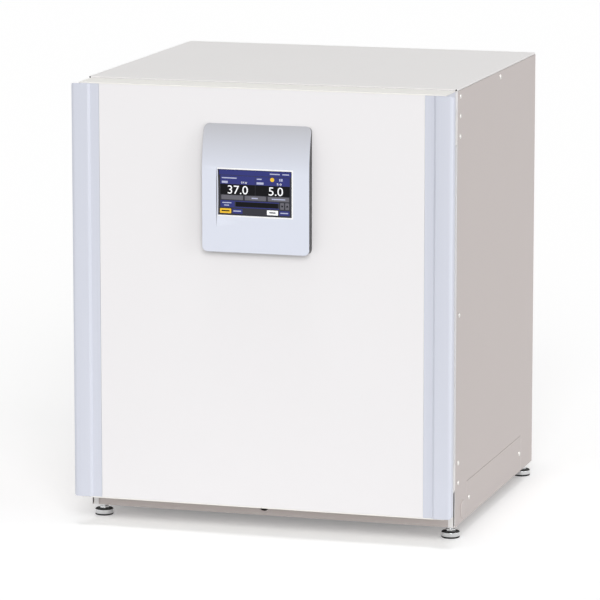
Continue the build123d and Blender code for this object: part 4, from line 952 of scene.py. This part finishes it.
def separate_boxes(node):
    """The corners of the box around each separate solid of a CAD node."""
    shape = merged_copy(node)
    waiting = set(shape.verts)
    boxes = []
    while waiting:
        front = [waiting.pop()]
        solid = []
        while front:
            vert = front.pop()
            solid.append(vert.co)
            for edge in vert.link_edges:
                other = edge.other_vert(vert)
                if other in waiting:
                    waiting.remove(other)
                    front.append(other)
        low = Vector(min(c[i] for c in solid) for i in range(3))
        high = Vector(max(c[i] for c in solid) for i in range(3))
        boxes.append((low, high))
    shape.free()
    return boxes


def side_place(side, x, y, z):
    """A place on a side panel, with its Z pointing out of the cabinet."""
    return Matrix.Translation((x, y, z)) @ Matrix.Rotation(side * math.radians(90), 4, "Y")


class INCUBATOR_OT_screws(bpy.types.Operator):
    """Put cross-head screws in the side and back panels"""
    bl_idname = "incubator.screws"
    bl_label = "Screws"

    def execute(self, context):
        radius = context.scene.incubator_sizes.screw_radius
        finish = [MATERIALS["screw"]]
        shape = bmesh.new()
        for low, high in separate_boxes("panel_screws"):
            middle = (low + high) / 2
            side = 1 if middle.x > 0 else -1
            face = high.x - SCREW_HEIGHT if side > 0 else low.x + SCREW_HEIGHT
            place = side_place(side, face, middle.y, middle.z)
            add_screw_head(shape, place, radius, SCREW_HEIGHT)
            sunk = place @ Matrix.Translation((0, 0, -SCREW_SINK / 2))
            add_disc(shape, sunk, SCREW_SHANK_RADIUS, SCREW_SINK, 12)
        low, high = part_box("side_panel_right")
        y, z = low.y + UPPER_SCREW_DEPTH, high.z - SCREW_INSET
        for side in (-1, 1):
            add_screw_head(shape, side_place(side, side * high.x, y, z), radius, SCREW_HEIGHT)
        piece = new_piece("panel_screws_cross", shape, "cabinet", finish)
        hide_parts("panel_screws")
        low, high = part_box("back_panel")
        half_way = (low.z + high.z) / 2
        shape = bmesh.new()
        for x in (low.x + SCREW_INSET, 0, high.x - SCREW_INSET):
            for z in (low.z + SCREW_INSET, half_way, high.z - SCREW_INSET):
                if x or z != half_way:
                    place = Matrix.Translation((x, high.y, z)) @ FACING_BACK
                    add_screw_head(shape, place, radius, SCREW_HEIGHT)
        new_piece("back_screws", shape, "cabinet", finish)
        return {"FINISHED"}


def blacken_top(shape):
    """Marks the upper face of a foot's round base, which is rubber, for the second material."""
    for face in shape.faces:
        if face.normal.z > UPWARD and face.calc_center_median().z < FOOT_BASE_HEIGHT:
            face.material_index = 1


class INCUBATOR_OT_feet(bpy.types.Operator):
    """Finish the levelling feet"""
    bl_idname = "incubator.feet"
    bl_label = "Feet"

    def execute(self, context):
        edge = context.scene.incubator_sizes.sheet_edge
        two_finishes = [MATERIALS["chrome"], MATERIALS["rubber"]]
        for depth in ("front", "rear"):
            for side in ("left", "right"):
                place = depth + "_" + side
                rounded_node("foot_" + place, edge, two_finishes, paint=blacken_top)
                rounded_node("foot_pad_" + place, edge, [MATERIALS["rubber"]])
        return {"FINISHED"}


def seen_directly(tree):
    """One for camera, mirror and glass rays, and nought for the light that falls on things."""
    rays = add_node(tree, "ShaderNodeLightPath")
    seen = rays.outputs["Is Camera Ray"]
    for kind in ("Is Glossy Ray", "Is Transmission Ray"):
        either = add_node(
            tree, "ShaderNodeMath", {0: seen, 1: rays.outputs[kind]}, operation="MAXIMUM",
        )
        seen = either.outputs[0]
    return seen


def plain_ground(name, colour, lift):
    """A matt pale floor that camera, mirror and glass rays see lifted towards white."""
    material, tree = start_material(name)
    diffuse = add_node(tree, "ShaderNodeBsdfDiffuse", {"Color": (*colour, 1)})
    level = add_node(
        tree, "ShaderNodeMath", {0: seen_directly(tree), 1: lift}, operation="MULTIPLY",
    )
    glow = add_node(tree, "ShaderNodeEmission", {"Strength": level.outputs[0]})
    both = add_node(tree, "ShaderNodeAddShader", {0: diffuse.outputs[0], 1: glow.outputs[0]})
    add_node(tree, "ShaderNodeOutputMaterial", {"Surface": both.outputs[0]})
    return material


def light_world(level):
    """A white surround that lights at a level, and is plain white where it is seen."""
    world = bpy.data.worlds.new("studio")
    world.use_nodes = True
    tree = world.node_tree
    tree.nodes.clear()
    strength = between(tree, seen_directly(tree), level, 1.0)
    ground = add_node(tree, "ShaderNodeBackground", {"Strength": strength})
    add_node(tree, "ShaderNodeOutputWorld", {"Surface": ground.outputs[0]})
    bpy.context.scene.world = world


def add_sun(name, direction, strength, softness):
    """A soft light that comes from a direction and is even over the whole scene."""
    lamp = bpy.data.lights.new(name, "SUN")
    lamp.energy = strength
    lamp.angle = math.radians(softness)
    holder = bpy.data.objects.new(name, lamp)
    holder.rotation_euler = Vector(direction).to_track_quat("Z", "Y").to_euler()
    bpy.context.scene.collection.objects.link(holder)


class INCUBATOR_OT_stage(bpy.types.Operator):
    """Set the floor, the light and the camera"""
    bl_idname = "incubator.stage"
    bl_label = "Stage"

    def execute(self, context):
        stage = context.scene.incubator_stage
        shape = bmesh.new()
        bmesh.ops.create_grid(shape, x_segments=1, y_segments=1, size=FLOOR_HALF)
        mesh = bpy.data.meshes.new("floor")
        shape.to_mesh(mesh)
        shape.free()
        mesh.materials.append(plain_ground("matt_white_floor", linear("#F4F4F4"), FLOOR_LIFT))
        floor = bpy.data.objects.new("floor", mesh)
        context.scene.collection.objects.link(floor)
        light_world(stage.ambient)
        add_sun("key", (0.30, -0.85, 0.45), stage.key, 30)
        add_sun("overhead", (0, -0.05, 1), stage.overhead, 12)
        add_sun("right", (0.94, -0.28, 0.12), stage.side, 15)
        eye = bpy.data.cameras.new("camera")
        eye.lens = stage.lens
        eye.sensor_width = SENSOR_WIDTH
        camera = bpy.data.objects.new("camera", eye)
        level = math.cos(stage.elevation)
        back = Vector((
            math.sin(stage.azimuth) * level, -math.cos(stage.azimuth) * level,
            math.sin(stage.elevation),
        ))
        camera.location = Vector(stage.target) + back * stage.distance
        camera.rotation_euler = back.to_track_quat("Z", "Y").to_euler()
        context.scene.collection.objects.link(camera)
        context.scene.camera = camera
        context.scene.view_settings.view_transform = "Standard"
        return {"FINISHED"}


OPERATORS = (
    INCUBATOR_OT_materials,
    INCUBATOR_OT_cabinet,
    INCUBATOR_OT_door,
    INCUBATOR_OT_housing,
    INCUBATOR_OT_screen,
    INCUBATOR_OT_chamber,
    INCUBATOR_OT_glass_door,
    INCUBATOR_OT_services,
    INCUBATOR_OT_screws,
    INCUBATOR_OT_feet,
    INCUBATOR_OT_stage,
)


class INCUBATOR_PT_panel(bpy.types.Panel):
    """The incubator's pieces, in the order they are made"""
    bl_idname = "INCUBATOR_PT_panel"
    bl_label = "Incubator"
    bl_space_type = "VIEW_3D"
    bl_region_type = "UI"
    bl_category = "Incubator"

    def draw(self, context):
        scene = context.scene
        for group in (scene.incubator_colours, scene.incubator_sizes, scene.incubator_stage):
            box = self.layout.box()
            for name in group.__annotations__:
                box.prop(group, name)
        for operator in OPERATORS:
            self.layout.operator(operator.bl_idname)


GROUPS = (IncubatorColours, IncubatorSizes, IncubatorStage)
CLASSES = (*GROUPS, *OPERATORS, INCUBATOR_PT_panel)


def register():
    for entry in CLASSES:
        bpy.utils.register_class(entry)
    bpy.types.Scene.incubator_colours = PointerProperty(type=IncubatorColours)
    bpy.types.Scene.incubator_sizes = PointerProperty(type=IncubatorSizes)
    bpy.types.Scene.incubator_stage = PointerProperty(type=IncubatorStage)


def unregister():
    del bpy.types.Scene.incubator_stage
    del bpy.types.Scene.incubator_sizes
    del bpy.types.Scene.incubator_colours
    for entry in reversed(CLASSES):
        bpy.utils.unregister_class(entry)


def main():
    """Make every piece in order."""
    register()
    for operator in OPERATORS:
        group, call = operator.bl_idname.split(".")
        getattr(getattr(bpy.ops, group), call)()


if __name__ == "__main__":
    main()
